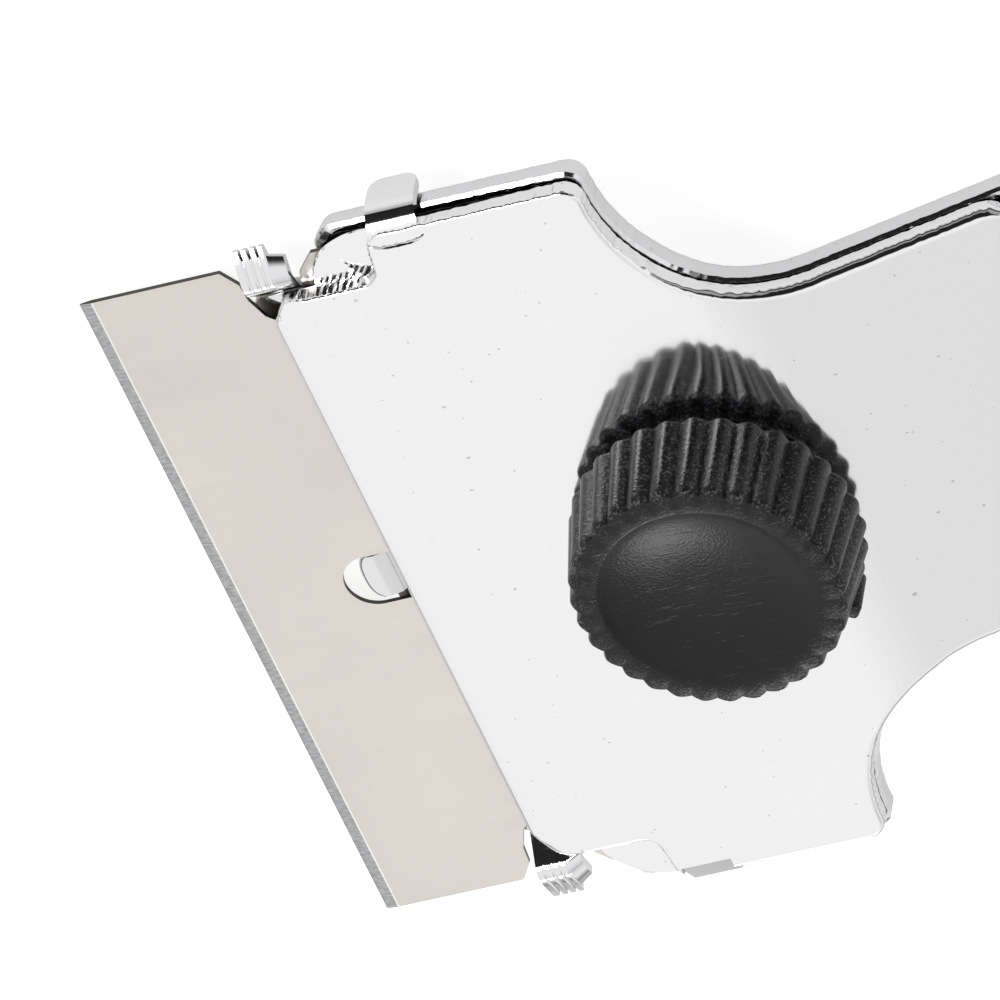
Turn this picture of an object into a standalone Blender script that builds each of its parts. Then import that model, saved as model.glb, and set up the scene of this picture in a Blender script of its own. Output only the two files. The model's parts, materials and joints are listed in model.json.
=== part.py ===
"""Razor scraper: pressed steel handle and clamp plate, single-edge blade, clamp knob on a stud.

All dimensions are in millimetres in the head frame: the origin is the middle of the clamp
plate's front edge at the level of its top face, X runs along the tool towards the handle,
Y across it, Z up on the knob's side. The finished tool is then laid down as it lies on a
table, on the cutting edge and the end of the handle.
"""
import math

import bmesh
import bpy
from mathutils import Matrix, Vector

for old in list(bpy.data.objects):
    bpy.data.objects.remove(old, do_unlink=True)

MM = 0.001
ARC_STEP_DEG = 11.0

# Driving dimensions
SHEET = 0.6
GAP = 0.3
BURY = 0.03
INNER_SPARE = 0.4
BLADE_LEN = 38.1
BLADE_WIDE = 19.0
BLADE_T = 0.25
BLADE_OUT = 8.55
BLADE_GRIND = 0.68
NOTCH_FROM_EDGE = 6.95
NOTCH_WIDE = 4.5
NOTCH_DEEP = 3.4
SLOT_FROM_EDGE = 5.55
SLOT_LONG = 7.0
SLOT_WIDE = 2.9
HEAD_SIDE = 1.35
HANDLE_WIDE = 22.8
HANDLE_LONG = 70.0
KNOB_BEHIND_BLADE = 5.4
HEAD_BEHIND_KNOB = 0.85
BEND_BEHIND_KNOB = 2.25
COVER_BEHIND_KNOB = 18.15
SHELL_BEHIND_COVER = 0.5
RIVET_BEHIND_COVER = 10.0
EYELET_FROM_TAIL = 16.0
COVER_REAR_R = 1.6
LIP_LONG = 2.4
LIP_EDGE_T = 0.4
LIP_OVER_BLADE = 0.23
LIP_CHAMFER_LONG = 0.95
LIP_CHAMFER_WIDE = 1.4
RECESS_DEEP = 3.0
RECESS_LONG = 5.75
STRAP_BEHIND_RECESS = 0.55
STRAP_WIDE = 2.4
STRAP_STAND = 0.25
STRAP_BELOW = 0.65
BEND_R = 14.0
BEND_DEG = 15.6
KNOB_R = 6.45
KNOB_DRAFT = 0.45
KNOB_TOP = 5.55
KNOB_LOBES = 32
KNOB_LOBE_DEEP = 0.36
KNOB_DISH_DEEP = 0.75
KNOB_ROOF = 0.55
KNOB_COLLAR = 0.45
STUD_R = 2.0
STUD_HEAD_T = 1.2
WASHER_T = 0.5
RIVET_R = 1.9
RIVET_HEAD_T = 0.5
EYELET_BORE_R = 3.5
EYELET_WALL = 0.6

# Sheet and blade levels that follow from them
PRESS_R = SHEET + 0.15
CORNER_R = PRESS_R + 0.15
THICK = 2.0 * SHEET + GAP + 2.0 * BLADE_T + INNER_SPARE
FLANGE = (THICK - GAP) / 2.0
BASE_IN = -THICK + SHEET
BLADE_BOT = BASE_IN + GAP
BLADE_TOP = BLADE_BOT + BLADE_T
LIP_DROP = -BLADE_TOP - LIP_OVER_BLADE - LIP_EDGE_T

# Outline of the pressings
BLADE_REAR = BLADE_WIDE - BLADE_OUT
KNOB_X = BLADE_REAR + KNOB_BEHIND_BLADE
HEAD_HALF = BLADE_LEN / 2.0 + HEAD_SIDE
HANDLE_HALF = HANDLE_WIDE / 2.0
HEAD_REAR = KNOB_X + HEAD_BEHIND_KNOB
NECK_R = HEAD_HALF - HANDLE_HALF - CORNER_R - 0.1
RECESS_HALF = HEAD_HALF - RECESS_DEEP
FRONT_HALF = RECESS_HALF - LIP_CHAMFER_WIDE
STRAP_FROM = RECESS_LONG + STRAP_BEHIND_RECESS
BEND_FROM = KNOB_X + BEND_BEHIND_KNOB
BEND_TO = BEND_FROM + BEND_R * math.radians(BEND_DEG)
COVER_REAR = KNOB_X + COVER_BEHIND_KNOB
HANDLE_FRONT = COVER_REAR + SHELL_BEHIND_COVER
TAIL_X = COVER_REAR + HANDLE_LONG
TAIL_R = HANDLE_HALF * 0.83

# Blade seat on the base
NOTCH_X = NOTCH_FROM_EDGE - BLADE_OUT
BASE_FRONT = NOTCH_X + 0.7
EAR_FROM = NOTCH_X + NOTCH_WIDE * 0.2
EAR_LONG = NOTCH_WIDE * 0.53
EAR_R = THICK * 0.79
EAR_HUB = BLADE_LEN / 2.0 - 1.85
EAR_TOP = -0.35
SLOT_X = SLOT_FROM_EDGE - BLADE_OUT
TONGUE_FRONT = SLOT_X + 0.86
TONGUE_WIDE = SLOT_WIDE - 2.0 * GAP

# Turned pieces
KNOB_DISH_R = KNOB_R * 0.775
STUD_HEAD_R = STUD_R * 2.1
INSERT_R = STUD_R * 1.65
WASHER_R = STUD_R * 2.3
RIVET_X = COVER_REAR + RIVET_BEHIND_COVER
RIVET_HEAD_R = RIVET_R * 1.9
EYELET_X = TAIL_X - EYELET_FROM_TAIL
EYELET_R = EYELET_BORE_R + EYELET_WALL
BRIM_R = EYELET_R + 1.2
BRIM_GAP = 0.2
BRIM_T = 0.3
SEAT_DEEP = RIVET_HEAD_T + GAP + 0.05
SEAT_FLOOR = -THICK + SEAT_DEEP

parts = bpy.data.collections.new("razor_scraper")
bpy.context.scene.collection.children.link(parts)
cutters = bpy.data.collections.new("cutters")
bpy.context.scene.collection.children.link(cutters)
cutters.hide_render = True


def material(name, colour, metallic, roughness):
    mat = bpy.data.materials.new(name)
    mat.use_nodes = True
    shader = mat.node_tree.nodes["Principled BSDF"]
    shader.inputs["Base Color"].default_value = (*colour, 1.0)
    shader.inputs["Metallic"].default_value = metallic
    shader.inputs["Roughness"].default_value = roughness
    return mat


def add(name, bm, collection=parts):
    """A mesh object from a bmesh held in millimetres."""
    bmesh.ops.recalc_face_normals(bm, faces=bm.faces)
    bmesh.ops.scale(bm, vec=(MM, MM, MM), verts=bm.verts)
    mesh = bpy.data.meshes.new(name)
    bm.to_mesh(mesh)
    bm.free()
    obj = bpy.data.objects.new(name, mesh)
    collection.objects.link(obj)
    if collection == cutters:
        obj.hide_render = True
        obj.display_type = "WIRE"
    return obj


def boolean(obj, other, how):
    mod = obj.modifiers.new(how.lower(), "BOOLEAN")
    mod.operation = how
    mod.solver = "EXACT"
    mod.object = other


def cut_lines(bm, places, unit=1.0):
    for x in places:
        geom = list(bm.verts) + list(bm.edges) + list(bm.faces)
        spot = (x * unit, 0.0, 0.0)
        bmesh.ops.bisect_plane(bm, geom=geom, dist=1e-5 * unit, plane_co=spot, plane_no=(1, 0, 0))


def freeze(obj, lines=()):
    """Keep the evaluated mesh as triangles, cut across at the lines where the sheet is bent."""
    graph = bpy.context.evaluated_depsgraph_get()
    mesh = bpy.data.meshes.new_from_object(obj.evaluated_get(graph))
    obj.modifiers.clear()
    bm = bmesh.new()
    bm.from_mesh(mesh)
    bmesh.ops.remove_doubles(bm, verts=bm.verts, dist=1e-7)
    cut_lines(bm, lines, MM)
    bmesh.ops.triangulate(bm, faces=bm.faces, quad_method="BEAUTY", ngon_method="BEAUTY")
    bm.to_mesh(mesh)
    bm.free()
    obj.data = mesh


def fillet_path(corners):
    """Points of an open path through (x, y, radius) corners."""
    points = [Vector(corners[0][:2])]
    for before, here, after in zip(corners, corners[1:], corners[2:]):
        p = Vector(here[:2])
        d1 = (Vector(before[:2]) - p).normalized()
        d2 = (Vector(after[:2]) - p).normalized()
        half = d1.angle(d2) / 2.0
        reach = here[2] / math.tan(half)
        centre = p + (d1 + d2).normalized() * (here[2] / math.sin(half))
        start = p + d1 * reach - centre
        stop = p + d2 * reach - centre
        sweep = start.angle_signed(stop)
        steps = max(2, round(abs(math.degrees(sweep)) / ARC_STEP_DEG))
        for k in range(steps + 1):
            turn = Matrix.Rotation(-sweep * k / steps, 2)
            points.append(centre + turn @ start)
    points.append(Vector(corners[-1][:2]))
    return points


def closed(half):
    """The whole outline from its +Y half, which runs from the front to the rear."""
    back = [Vector((p.x, -p.y)) for p in reversed(half[1:-1])]
    return half + back


def inset(points, how_much):
    """Each point moved inwards along the corner's mitre."""
    moved = []
    count = len(points)
    for i in range(count):
        e1 = (points[i] - points[i - 1]).normalized()
        e2 = (points[(i + 1) % count] - points[i]).normalized()
        n1 = Vector((e1.y, -e1.x))
        n2 = Vector((e2.y, -e2.x))
        mid = (n1 + n2).normalized()
        moved.append(points[i] + mid * (how_much[i] / max(mid.dot(n1), 0.2)))
    return moved


def press_profile():
    """(inset, depth) of the outer and the inner skin, with a flange and without one."""
    r_in = PRESS_R - SHEET
    outer = [(0.0, FLANGE), (0.0, PRESS_R)]
    for k in range(1, 5):
        a = math.radians(22.5 * k)
        outer.append((PRESS_R * (1.0 - math.cos(a)), PRESS_R * (1.0 - math.sin(a))))
    plain_outer = [
        (0.0, SHEET),
        (0.0, SHEET * 0.6),
        (0.0, SHEET * 0.3),
        (0.06, 0.06),
        (PRESS_R * 0.4, 0.0),
        (PRESS_R, 0.0),
    ]
    inner = [(SHEET, FLANGE), (SHEET, PRESS_R)]
    inner.append((SHEET + r_in * 0.3, PRESS_R - r_in * 0.7))
    inner.append((PRESS_R, SHEET))
    plain_inner = [(PRESS_R * k, SHEET) for k in (0.25, 0.5, 0.75, 1.0)]
    return outer, plain_outer, inner, plain_inner


def tray(top, low, flanged, upward):
    """A pressed tray: the flat face, the rounded bend and the flange that follows the outline.

    top and low are the outline at the face and at the flange's free edge, flanged is 0 to 1
    at each of its points, and upward turns the flange up from a face at the bottom.
    """
    outer, plain_outer, inner, plain_inner = press_profile()
    bm = bmesh.new()
    skins = []
    for full, plain in ((outer, plain_outer), (inner, plain_inner)):
        loops = []
        for (o1, d1), (o0, d0) in zip(full, plain):
            share = min(1.0, d1 / FLANGE)
            path = [a.lerp(b, share) for a, b in zip(top, low)]
            offsets = [o0 + (o1 - o0) * g for g in flanged]
            depths = [d0 + (d1 - d0) * g for g in flanged]
            ring = []
            for p, d in zip(inset(path, offsets), depths):
                z = d - THICK if upward else -d
                ring.append(bm.verts.new((p.x, p.y, z)))
            loops.append(ring)
        skins.append(loops)
    count = len(top)
    bands = list(zip(skins[0], skins[0][1:])) + list(zip(skins[1], skins[1][1:]))
    bands.append((skins[0][0], skins[1][0]))
    for a, b in bands:
        for i in range(count):
            j = (i + 1) % count
            bm.faces.new((a[i], a[j], b[j], b[i]))
    bm.faces.new(skins[0][-1])
    bm.faces.new(skins[1][-1])
    return bm


def prism(points, low, high, axis):
    """A closed prism of a polygon: axis X takes (y, z) points, Y (x, z) and Z (x, y)."""
    bm = bmesh.new()

    def place(p, h):
        spots = {"X": (h, p[0], p[1]), "Y": (p[0], h, p[1]), "Z": (p[0], p[1], h)}
        return bm.verts.new(spots[axis])

    a = [place(p, low) for p in points]
    b = [place(p, high) for p in points]
    for i in range(len(points)):
        j = (i + 1) % len(points)
        bm.faces.new((a[i], a[j], b[j], b[i]))
    bm.faces.new(a)
    bm.faces.new(b)
    return bm


def post(x, radius):
    """A round cutter through both sheets."""
    ring = [(x + radius * math.cos(a), radius * math.sin(a))
            for a in (math.tau * k / 32 for k in range(32))]
    return add("hole_cutter", prism(ring, -THICK * 2.0, THICK, "Z"), cutters)


def lathe(name, profile, x, collection=parts, steps=40, loop=False):
    """A turned piece: the profile of (radius, z) runs from top to bottom on the +X side."""
    mesh = bpy.data.meshes.new(name)
    verts = [(r * MM, 0.0, z * MM) for r, z in profile]
    edges = [(i, i + 1) for i in range(len(profile) - 1)]
    if loop:
        edges.append((len(profile) - 1, 0))
    mesh.from_pydata(verts, edges, [])
    obj = bpy.data.objects.new(name, mesh)
    collection.objects.link(obj)
    obj.location = (x * MM, 0.0, 0.0)
    screw = obj.modifiers.new("turn", "SCREW")
    screw.axis = "Z"
    screw.angle = math.tau
    screw.steps = steps
    screw.render_steps = steps
    screw.use_merge_vertices = True
    screw.merge_threshold = 0.000001
    if collection == cutters:
        obj.hide_render = True
        obj.display_type = "WIRE"
    return obj


def seat(obj, x, mouth, bore):
    """A round seat pressed into the back of a sheet, so that a rivet's head lies below the face."""
    rim = mouth + SHEET
    top = SEAT_FLOOR + SHEET
    mid = -THICK + SHEET / 2.0
    block = [(0.0, top), (rim - 0.2, top), (rim, top - 0.2), (rim, mid), (0.0, mid)]
    room = [(0.0, SEAT_FLOOR), (mouth, SEAT_FLOOR), (mouth, -THICK - 1.0), (0.0, -THICK - 1.0)]
    boolean(obj, lathe("seat_block", block, x, cutters), "UNION")
    boolean(obj, lathe("seat_room", room, x, cutters), "DIFFERENCE")
    boolean(obj, post(x, bore), "DIFFERENCE")


def bent(co):
    """A point of the flat tool, in metres, moved to where the bent handle has it."""
    x = co.x / MM
    z = co.z / MM
    if x <= BEND_FROM:
        return co
    mid = -THICK / 2.0
    angle = min((x - BEND_FROM) / BEND_R, math.radians(BEND_DEG))
    beyond = max(0.0, x - BEND_TO)
    arm = BEND_R + z - mid
    new_x = BEND_FROM + arm * math.sin(angle) + beyond * math.cos(angle)
    new_z = mid - BEND_R + arm * math.cos(angle) - beyond * math.sin(angle)
    return Vector((new_x * MM, co.y, new_z * MM))


def ramp(value, low, high):
    return min(1.0, max(0.0, (value - low) / (high - low)))


BEND_LINES = [BEND_FROM + (BEND_TO - BEND_FROM) * k / 6.0 for k in range(7)]
NECK = [(HEAD_REAR, HEAD_HALF, CORNER_R), (HEAD_REAR, HANDLE_HALF, NECK_R)]

# Base plate: lower tray with the ears and the tongue that hold the blade
ear_to = EAR_FROM + EAR_LONG
flange_from = ear_to + EAR_LONG
seat_half = EAR_HUB + 0.1
half = [
    (BASE_FRONT, 0.0),
    (BASE_FRONT, seat_half, CORNER_R),
    (ear_to + 1.0, seat_half, 0.4),
    (ear_to + 1.4, HEAD_HALF - 1.1, CORNER_R),
    (flange_from, HEAD_HALF, CORNER_R),
    *NECK,
    (TAIL_X, HANDLE_HALF, TAIL_R),
    (TAIL_X, 0.0),
]
outline = closed(fillet_path(half))
flanged = [ramp(p.x, ear_to + 1.1, flange_from) for p in outline]
bm = tray(outline, outline, flanged, True)
base = add("base_plate", bm)
for side in (1.0, -1.0):
    foot = -THICK + BURY
    thin = SHEET - 2.0 * BURY
    hub = EAR_HUB
    rise = foot + EAR_R
    outside = []
    inside = []
    for k in range(9):
        a = math.pi / 2.0 * k / 8.0
        outside.append((side * (hub + EAR_R * math.sin(a)), rise - EAR_R * math.cos(a)))
        r = EAR_R - thin
        inside.append((side * (hub + r * math.sin(a)), rise - r * math.cos(a)))
    tip = max(EAR_TOP, rise + 0.05)
    wall_out = outside[-1][0]
    wall_in = inside[-1][0]
    shape = [(side * (hub - 1.8), foot)] + outside + [(wall_out, tip - 0.12)]
    shape += [(wall_out - side * 0.12, tip), (wall_in + side * 0.12, tip), (wall_in, tip - 0.12)]
    shape += inside[::-1] + [(side * (hub - 1.8), foot + thin)]
    ear = add("ear", prism(shape, EAR_FROM, ear_to, "X"), cutters)
    boolean(base, ear, "UNION")
flat_z = BLADE_TOP - 0.1
root_x = SLOT_X + SLOT_LONG * 0.71
slope_x = TONGUE_FRONT + 1.15
shape = [
    (TONGUE_FRONT, flat_z),
    (slope_x, flat_z),
    (root_x, BASE_IN - BURY),
    (root_x, -THICK + BURY),
    (slope_x + 0.55, -THICK + BURY),
    (slope_x - 0.1, flat_z - 0.45),
    (TONGUE_FRONT, flat_z - 0.45),
]
tongue_half = TONGUE_WIDE / 2.0
tongue = add("tongue", prism(shape, -tongue_half, tongue_half, "Y"), cutters)
boolean(base, tongue, "UNION")
boolean(base, post(KNOB_X, STUD_R + GAP), "DIFFERENCE")
seat(base, RIVET_X, RIVET_HEAD_R + GAP, RIVET_R + GAP)
seat(base, EYELET_X, BRIM_R + GAP, EYELET_R + GAP)
freeze(base, BEND_LINES)
for v in base.data.vertices:
    v.co = bent(v.co)
base.data.materials.append(material("base_chrome", (0.78, 0.78, 0.79), 1.0, 0.12))

# Cover plate: the clamp plate, with its lip, recessed front corners and side straps
tops = [
    (0.0, 0.0),
    (0.0, FRONT_HALF, CORNER_R),
    (LIP_CHAMFER_LONG, RECESS_HALF, CORNER_R),
    (RECESS_LONG, RECESS_HALF, 0.8),
    (RECESS_LONG + 0.35, HEAD_HALF, CORNER_R),
    *NECK,
    (COVER_REAR, HANDLE_HALF, COVER_REAR_R),
    (COVER_REAR, 0.0),
]
lows = list(tops)
lows[3] = (RECESS_LONG, RECESS_HALF, RECESS_DEEP * 0.6)
top = closed(fillet_path(tops))
low = closed(fillet_path(lows))
flanged = [ramp(p.x, 0.4, 1.6) for p in top]
bm = tray(top, low, flanged, False)
cover = add("cover_plate", bm)
for side in (1.0, -1.0):
    thin = SHEET - 2.0 * BURY
    r = SHEET + 0.65
    hub = HEAD_HALF + STRAP_STAND - 0.65
    outside = []
    inside = []
    for k in range(9):
        a = math.pi / 2.0 * k / 8.0
        outside.append((side * (hub + r * math.sin(a)), r * math.cos(a) - r - BURY))
        q = r - thin
        inside.append((side * (hub + q * math.sin(a)), q * math.cos(a) - r - BURY))
    end = -THICK - STRAP_BELOW
    shape = [(side * (hub - 1.4), -BURY)] + outside + [(outside[-1][0], end + 0.2)]
    shape += [(outside[-1][0] - side * 0.15, end), (inside[-1][0], end)]
    shape += inside[::-1] + [(side * (hub - 1.4), -SHEET + BURY)]
    strap = add("strap", prism(shape, STRAP_FROM, STRAP_FROM + STRAP_WIDE, "X"), cutters)
    boolean(cover, strap, "UNION")
boolean(cover, post(KNOB_X, STUD_R + GAP + 0.1), "DIFFERENCE")
freeze(cover, [LIP_LONG * k / 6.0 for k in range(1, 7)] + BEND_LINES)
for v in cover.data.vertices:
    x = v.co.x / MM
    z = v.co.z / MM
    if x < LIP_LONG:
        bow = ((LIP_LONG - x) / LIP_LONG) ** 1.6
        under = LIP_DROP - SHEET + LIP_EDGE_T
        fall = under + (LIP_DROP - under) * ramp(z, -SHEET, 0.0)
        v.co.z -= fall * bow * ramp(z, -FLANGE, -SHEET) * MM
    v.co = bent(v.co)
cover.data.materials.append(material("cover_chrome", (0.82, 0.82, 0.83), 1.0, 0.1))

# Handle cover: upper shell of the handle behind the clamp plate
half = [
    (HANDLE_FRONT, 0.0),
    (HANDLE_FRONT, HANDLE_HALF, COVER_REAR_R),
    (TAIL_X, HANDLE_HALF, TAIL_R),
    (TAIL_X, 0.0),
]
outline = closed(fillet_path(half))
shell = add("handle_cover", tray(outline, outline, [1.0] * len(outline), False))
for x, r in ((RIVET_X, RIVET_R + GAP), (EYELET_X, EYELET_R + GAP)):
    boolean(shell, post(x, r), "DIFFERENCE")
freeze(shell)
for v in shell.data.vertices:
    v.co = bent(v.co)
shell.data.materials.append(material("handle_chrome", (0.8, 0.8, 0.81), 1.0, 0.11))

# Razor blade: end notches, a central slot and a ground edge
edge_x = -BLADE_OUT
end_y = BLADE_LEN / 2.0
n0 = NOTCH_X
w = NOTCH_WIDE
deep = NOTCH_DEEP
half = [
    (edge_x, 0.0),
    (edge_x, end_y),
    (n0, end_y),
    (n0 + w * 0.14, end_y - deep * 0.26),
    (n0 + w * 0.16, end_y - deep * 0.54),
    (n0 + w * 0.25, end_y - deep * 0.86),
    (n0 + w * 0.45, end_y - deep),
    (n0 + w * 0.64, end_y - deep * 0.88),
    (n0 + w * 0.76, end_y - deep * 0.55),
    (n0 + w * 0.8, end_y - deep * 0.28),
    (n0 + w, end_y),
    (edge_x + BLADE_WIDE, end_y),
    (edge_x + BLADE_WIDE, 0.0),
]
outline = closed([Vector(p) for p in half])
bm = prism([(p.x, p.y) for p in outline], BLADE_BOT, BLADE_TOP, "Z")
cut_lines(bm, [edge_x + BLADE_GRIND])
blade = add("razor_blade", bm)
s0 = SLOT_X
r = SLOT_WIDE / 2.0
ring = []
for k in range(13):
    a = math.pi / 2.0 + math.pi * k / 12.0
    ring.append((s0 + r + r * math.cos(a), r * math.sin(a)))
for k in range(13):
    a = -math.pi / 2.0 + math.pi * k / 12.0
    ring.append((s0 + SLOT_LONG - r + r * math.cos(a), r * math.sin(a)))
slot = add("slot_cutter", prism(ring, BLADE_BOT - 1.0, BLADE_TOP + 1.0, "Z"), cutters)
boolean(blade, slot, "DIFFERENCE")
freeze(blade)
mid_z = (BLADE_BOT + BLADE_TOP) / 2.0
for v in blade.data.vertices:
    keep = 0.12 + 0.88 * ramp(v.co.x / MM, edge_x, edge_x + BLADE_GRIND)
    v.co.z = (mid_z + (v.co.z / MM - mid_z) * keep) * MM
blade.data.materials.append(material("blade_steel", (0.62, 0.58, 0.53), 1.0, 0.32))

# Clamp stud: domed head under the base, shank up into the knob
pocket_top = KNOB_TOP - KNOB_DISH_DEEP - KNOB_ROOF
head_z = -THICK - GAP
stud_top = pocket_top - GAP - 0.3
profile = [
    (0.0, stud_top),
    (STUD_R - 0.3, stud_top),
    (STUD_R, stud_top - 0.3),
    (STUD_R, head_z),
    (STUD_HEAD_R, head_z),
    (STUD_HEAD_R, head_z - STUD_HEAD_T * 0.3),
    (STUD_HEAD_R * 0.9, head_z - STUD_HEAD_T * 0.62),
    (STUD_HEAD_R * 0.68, head_z - STUD_HEAD_T * 0.86),
    (STUD_HEAD_R * 0.35, head_z - STUD_HEAD_T * 0.98),
    (0.0, head_z - STUD_HEAD_T),
]
stud = lathe("clamp_stud", profile, KNOB_X)
stud.data.materials.append(material("stud_zinc", (0.6, 0.6, 0.6), 1.0, 0.3))

# Knob washer, in the recess under the knob
washer_low = GAP
washer_top = washer_low + WASHER_T
hole = STUD_R + 0.4
profile = [
    (WASHER_R, washer_top),
    (WASHER_R, washer_low),
    (hole, washer_low),
    (hole, washer_top),
]
washer = lathe("knob_washer", profile, KNOB_X, loop=True)
washer.data.materials.append(material("washer_steel", (0.55, 0.55, 0.56), 1.0, 0.35))

# Knob insert: brass nut moulded into the knob
shoulder = washer_top + GAP
insert_low = shoulder + GAP
insert_top = pocket_top - GAP
profile = [
    (INSERT_R - 0.2, insert_top),
    (INSERT_R, insert_top - 0.2),
    (INSERT_R, insert_low + 0.2),
    (INSERT_R - 0.2, insert_low),
    (STUD_R + GAP, insert_low),
    (STUD_R + GAP, insert_top),
]
insert = lathe("knob_insert", profile, KNOB_X, loop=True)
insert.data.materials.append(material("insert_brass", (0.72, 0.53, 0.25), 1.0, 0.3))

# Clamp knob: plain collar, lobed skirt with draft, flat ring, dished top, pocket for insert and washer
bm = bmesh.new()
rings = []
collar_r = KNOB_R * 0.9
skirt_r = KNOB_R + KNOB_DRAFT
skirt_low = GAP + KNOB_COLLAR
levels = [
    (GAP, collar_r, 0.0),
    (skirt_low, collar_r, 0.0),
    (skirt_low, skirt_r - 0.22, 0.6),
    (skirt_low + 0.22, skirt_r, 1.0),
    (KNOB_TOP - 0.42, KNOB_R, 1.0),
    (KNOB_TOP - 0.14, KNOB_R - 0.12, 0.9),
    (KNOB_TOP, KNOB_R - 0.42, 0.5),
]
points = KNOB_LOBES * 4
for z, radius, share in levels:
    ring = []
    for k in range(points):
        a = math.tau * k / points
        dip = 1.0 - abs(math.cos(KNOB_LOBES / 2.0 * a))
        r = radius - KNOB_LOBE_DEEP * share * dip
        ring.append(bm.verts.new((r * math.cos(a), r * math.sin(a), z)))
    rings.append(ring)
for a, b in zip(rings, rings[1:]):
    for i in range(points):
        j = (i + 1) % points
        bm.faces.new((a[i], a[j], b[j], b[i]))
bm.faces.new(rings[0])
bm.faces.new(rings[-1])
knob = add("clamp_knob", bm)
knob.location = (KNOB_X * MM, 0.0, 0.0)
profile = [(0.0, KNOB_TOP + 1.0), (KNOB_DISH_R, KNOB_TOP + 1.0)]
for k in range(9):
    share = 1.0 - k / 8.0
    profile.append((KNOB_DISH_R * share, KNOB_TOP - KNOB_DISH_DEEP * (1.0 - share ** 2)))
dish = lathe("dish_cutter", profile, KNOB_X, cutters, 48)
pocket = [
    (0.0, pocket_top),
    (INSERT_R + GAP, pocket_top),
    (INSERT_R + GAP, shoulder),
    (WASHER_R + GAP, shoulder),
    (WASHER_R + GAP, -1.0),
    (0.0, -1.0),
]
hollow = lathe("pocket_cutter", pocket, KNOB_X, cutters, 40)
boolean(knob, dish, "DIFFERENCE")
boolean(knob, hollow, "DIFFERENCE")
knob.data.materials.append(material("knob_plastic", (0.03, 0.03, 0.032), 0.0, 0.5))

# Handle rivet and tail eyelet, which join the two shells of the handle
low = SEAT_FLOOR - GAP
high = GAP
profile = [(0.0, high + RIVET_HEAD_T)]
for k in range(1, 5):
    a = math.radians(22.5 * k)
    profile.append((RIVET_HEAD_R * math.sin(a), high + RIVET_HEAD_T * math.cos(a)))
profile += [(RIVET_R, high), (RIVET_R, low)]
for k in range(4, 0, -1):
    a = math.radians(22.5 * k)
    profile.append((RIVET_HEAD_R * math.sin(a), low - RIVET_HEAD_T * math.cos(a)))
profile.append((0.0, low - RIVET_HEAD_T))
rivet = lathe("handle_rivet", profile, RIVET_X)
rivet.data.materials.append(material("rivet_steel", (0.66, 0.66, 0.67), 1.0, 0.22))

low = SEAT_FLOOR - BRIM_GAP
high = BRIM_GAP
profile = [
    (EYELET_BORE_R + 0.2, high + BRIM_T),
    (BRIM_R - 0.2, high + BRIM_T),
    (BRIM_R, high + BRIM_T * 0.5),
    (BRIM_R - 0.1, high),
    (EYELET_R, high),
    (EYELET_R, low),
    (BRIM_R - 0.1, low),
    (BRIM_R, low - BRIM_T * 0.5),
    (BRIM_R - 0.2, low - BRIM_T),
    (EYELET_BORE_R + 0.2, low - BRIM_T),
    (EYELET_BORE_R, low - BRIM_T * 0.4),
    (EYELET_BORE_R, high + BRIM_T * 0.4),
]
eyelet = lathe("tail_eyelet", profile, EYELET_X, loop=True)
eyelet.data.materials.append(material("eyelet_steel", (0.68, 0.68, 0.69), 1.0, 0.2))
down = Matrix.Rotation(math.radians(BEND_DEG), 4, "Y")
for piece, x in ((rivet, RIVET_X), (eyelet, EYELET_X)):
    piece.matrix_world = Matrix.Translation(bent(Vector((x, 0.0, 0.0)) * MM)) @ down

# The tool at rest: cutting edge and tail on the table, box centred over the origin
bpy.context.view_layer.update()
toe = Vector((edge_x, 0.0, mid_z - BLADE_T * 0.06)) * MM
tail = bent(Vector((TAIL_X - PRESS_R, 0.0, -THICK)) * MM)
pitch = math.atan2(toe.z - tail.z, tail.x - toe.x)
lay = Matrix.Rotation(-pitch, 4, "Y")
spots = []
for piece in (base, cover, shell, blade):
    spots += [lay @ v.co for v in piece.data.vertices]
x_mid = (min(p.x for p in spots) + max(p.x for p in spots)) / 2.0
z_low = min(p.z for p in spots)
rest = Matrix.Translation((-x_mid, 0.0, -z_low)) @ lay
for piece in parts.objects:
    piece.matrix_world = rest @ piece.matrix_world
for piece in cutters.objects:
    piece.matrix_world = rest @ piece.matrix_world
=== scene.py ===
import json
import math

import bmesh
import bpy
from mathutils import Matrix, Vector, noise


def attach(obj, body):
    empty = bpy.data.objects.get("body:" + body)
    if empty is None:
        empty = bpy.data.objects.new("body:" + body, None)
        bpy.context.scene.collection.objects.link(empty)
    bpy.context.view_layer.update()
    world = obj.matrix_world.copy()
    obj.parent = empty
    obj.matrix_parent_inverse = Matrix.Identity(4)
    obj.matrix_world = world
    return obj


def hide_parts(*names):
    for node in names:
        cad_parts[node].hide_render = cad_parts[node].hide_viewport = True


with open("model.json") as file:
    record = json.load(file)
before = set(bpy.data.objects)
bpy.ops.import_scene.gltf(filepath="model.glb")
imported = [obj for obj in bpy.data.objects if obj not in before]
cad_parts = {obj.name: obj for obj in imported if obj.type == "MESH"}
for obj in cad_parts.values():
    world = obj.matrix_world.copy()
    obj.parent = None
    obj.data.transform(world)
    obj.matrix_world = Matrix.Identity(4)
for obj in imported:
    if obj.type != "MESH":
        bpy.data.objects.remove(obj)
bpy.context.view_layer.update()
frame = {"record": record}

# Base plate: the lower half of the tool, blanked from one sheet of steel, pressed and bright plated.
# Its rim is turned up round the head and the handle; at the front two ears are bent up for the
# blade's end notches and a tongue for its slot, and round seats in the back take the rivet heads.
MM = 0.001
SHEET = 0.5
THICK = 2.4
CORNER_R = 0.9
KNOB_X = 15.85
BEND_FROM = 18.1
BEND_R = 14.0
BEND_DEG = 15.6
BEND_TO = BEND_FROM + BEND_R * math.radians(BEND_DEG)
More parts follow.
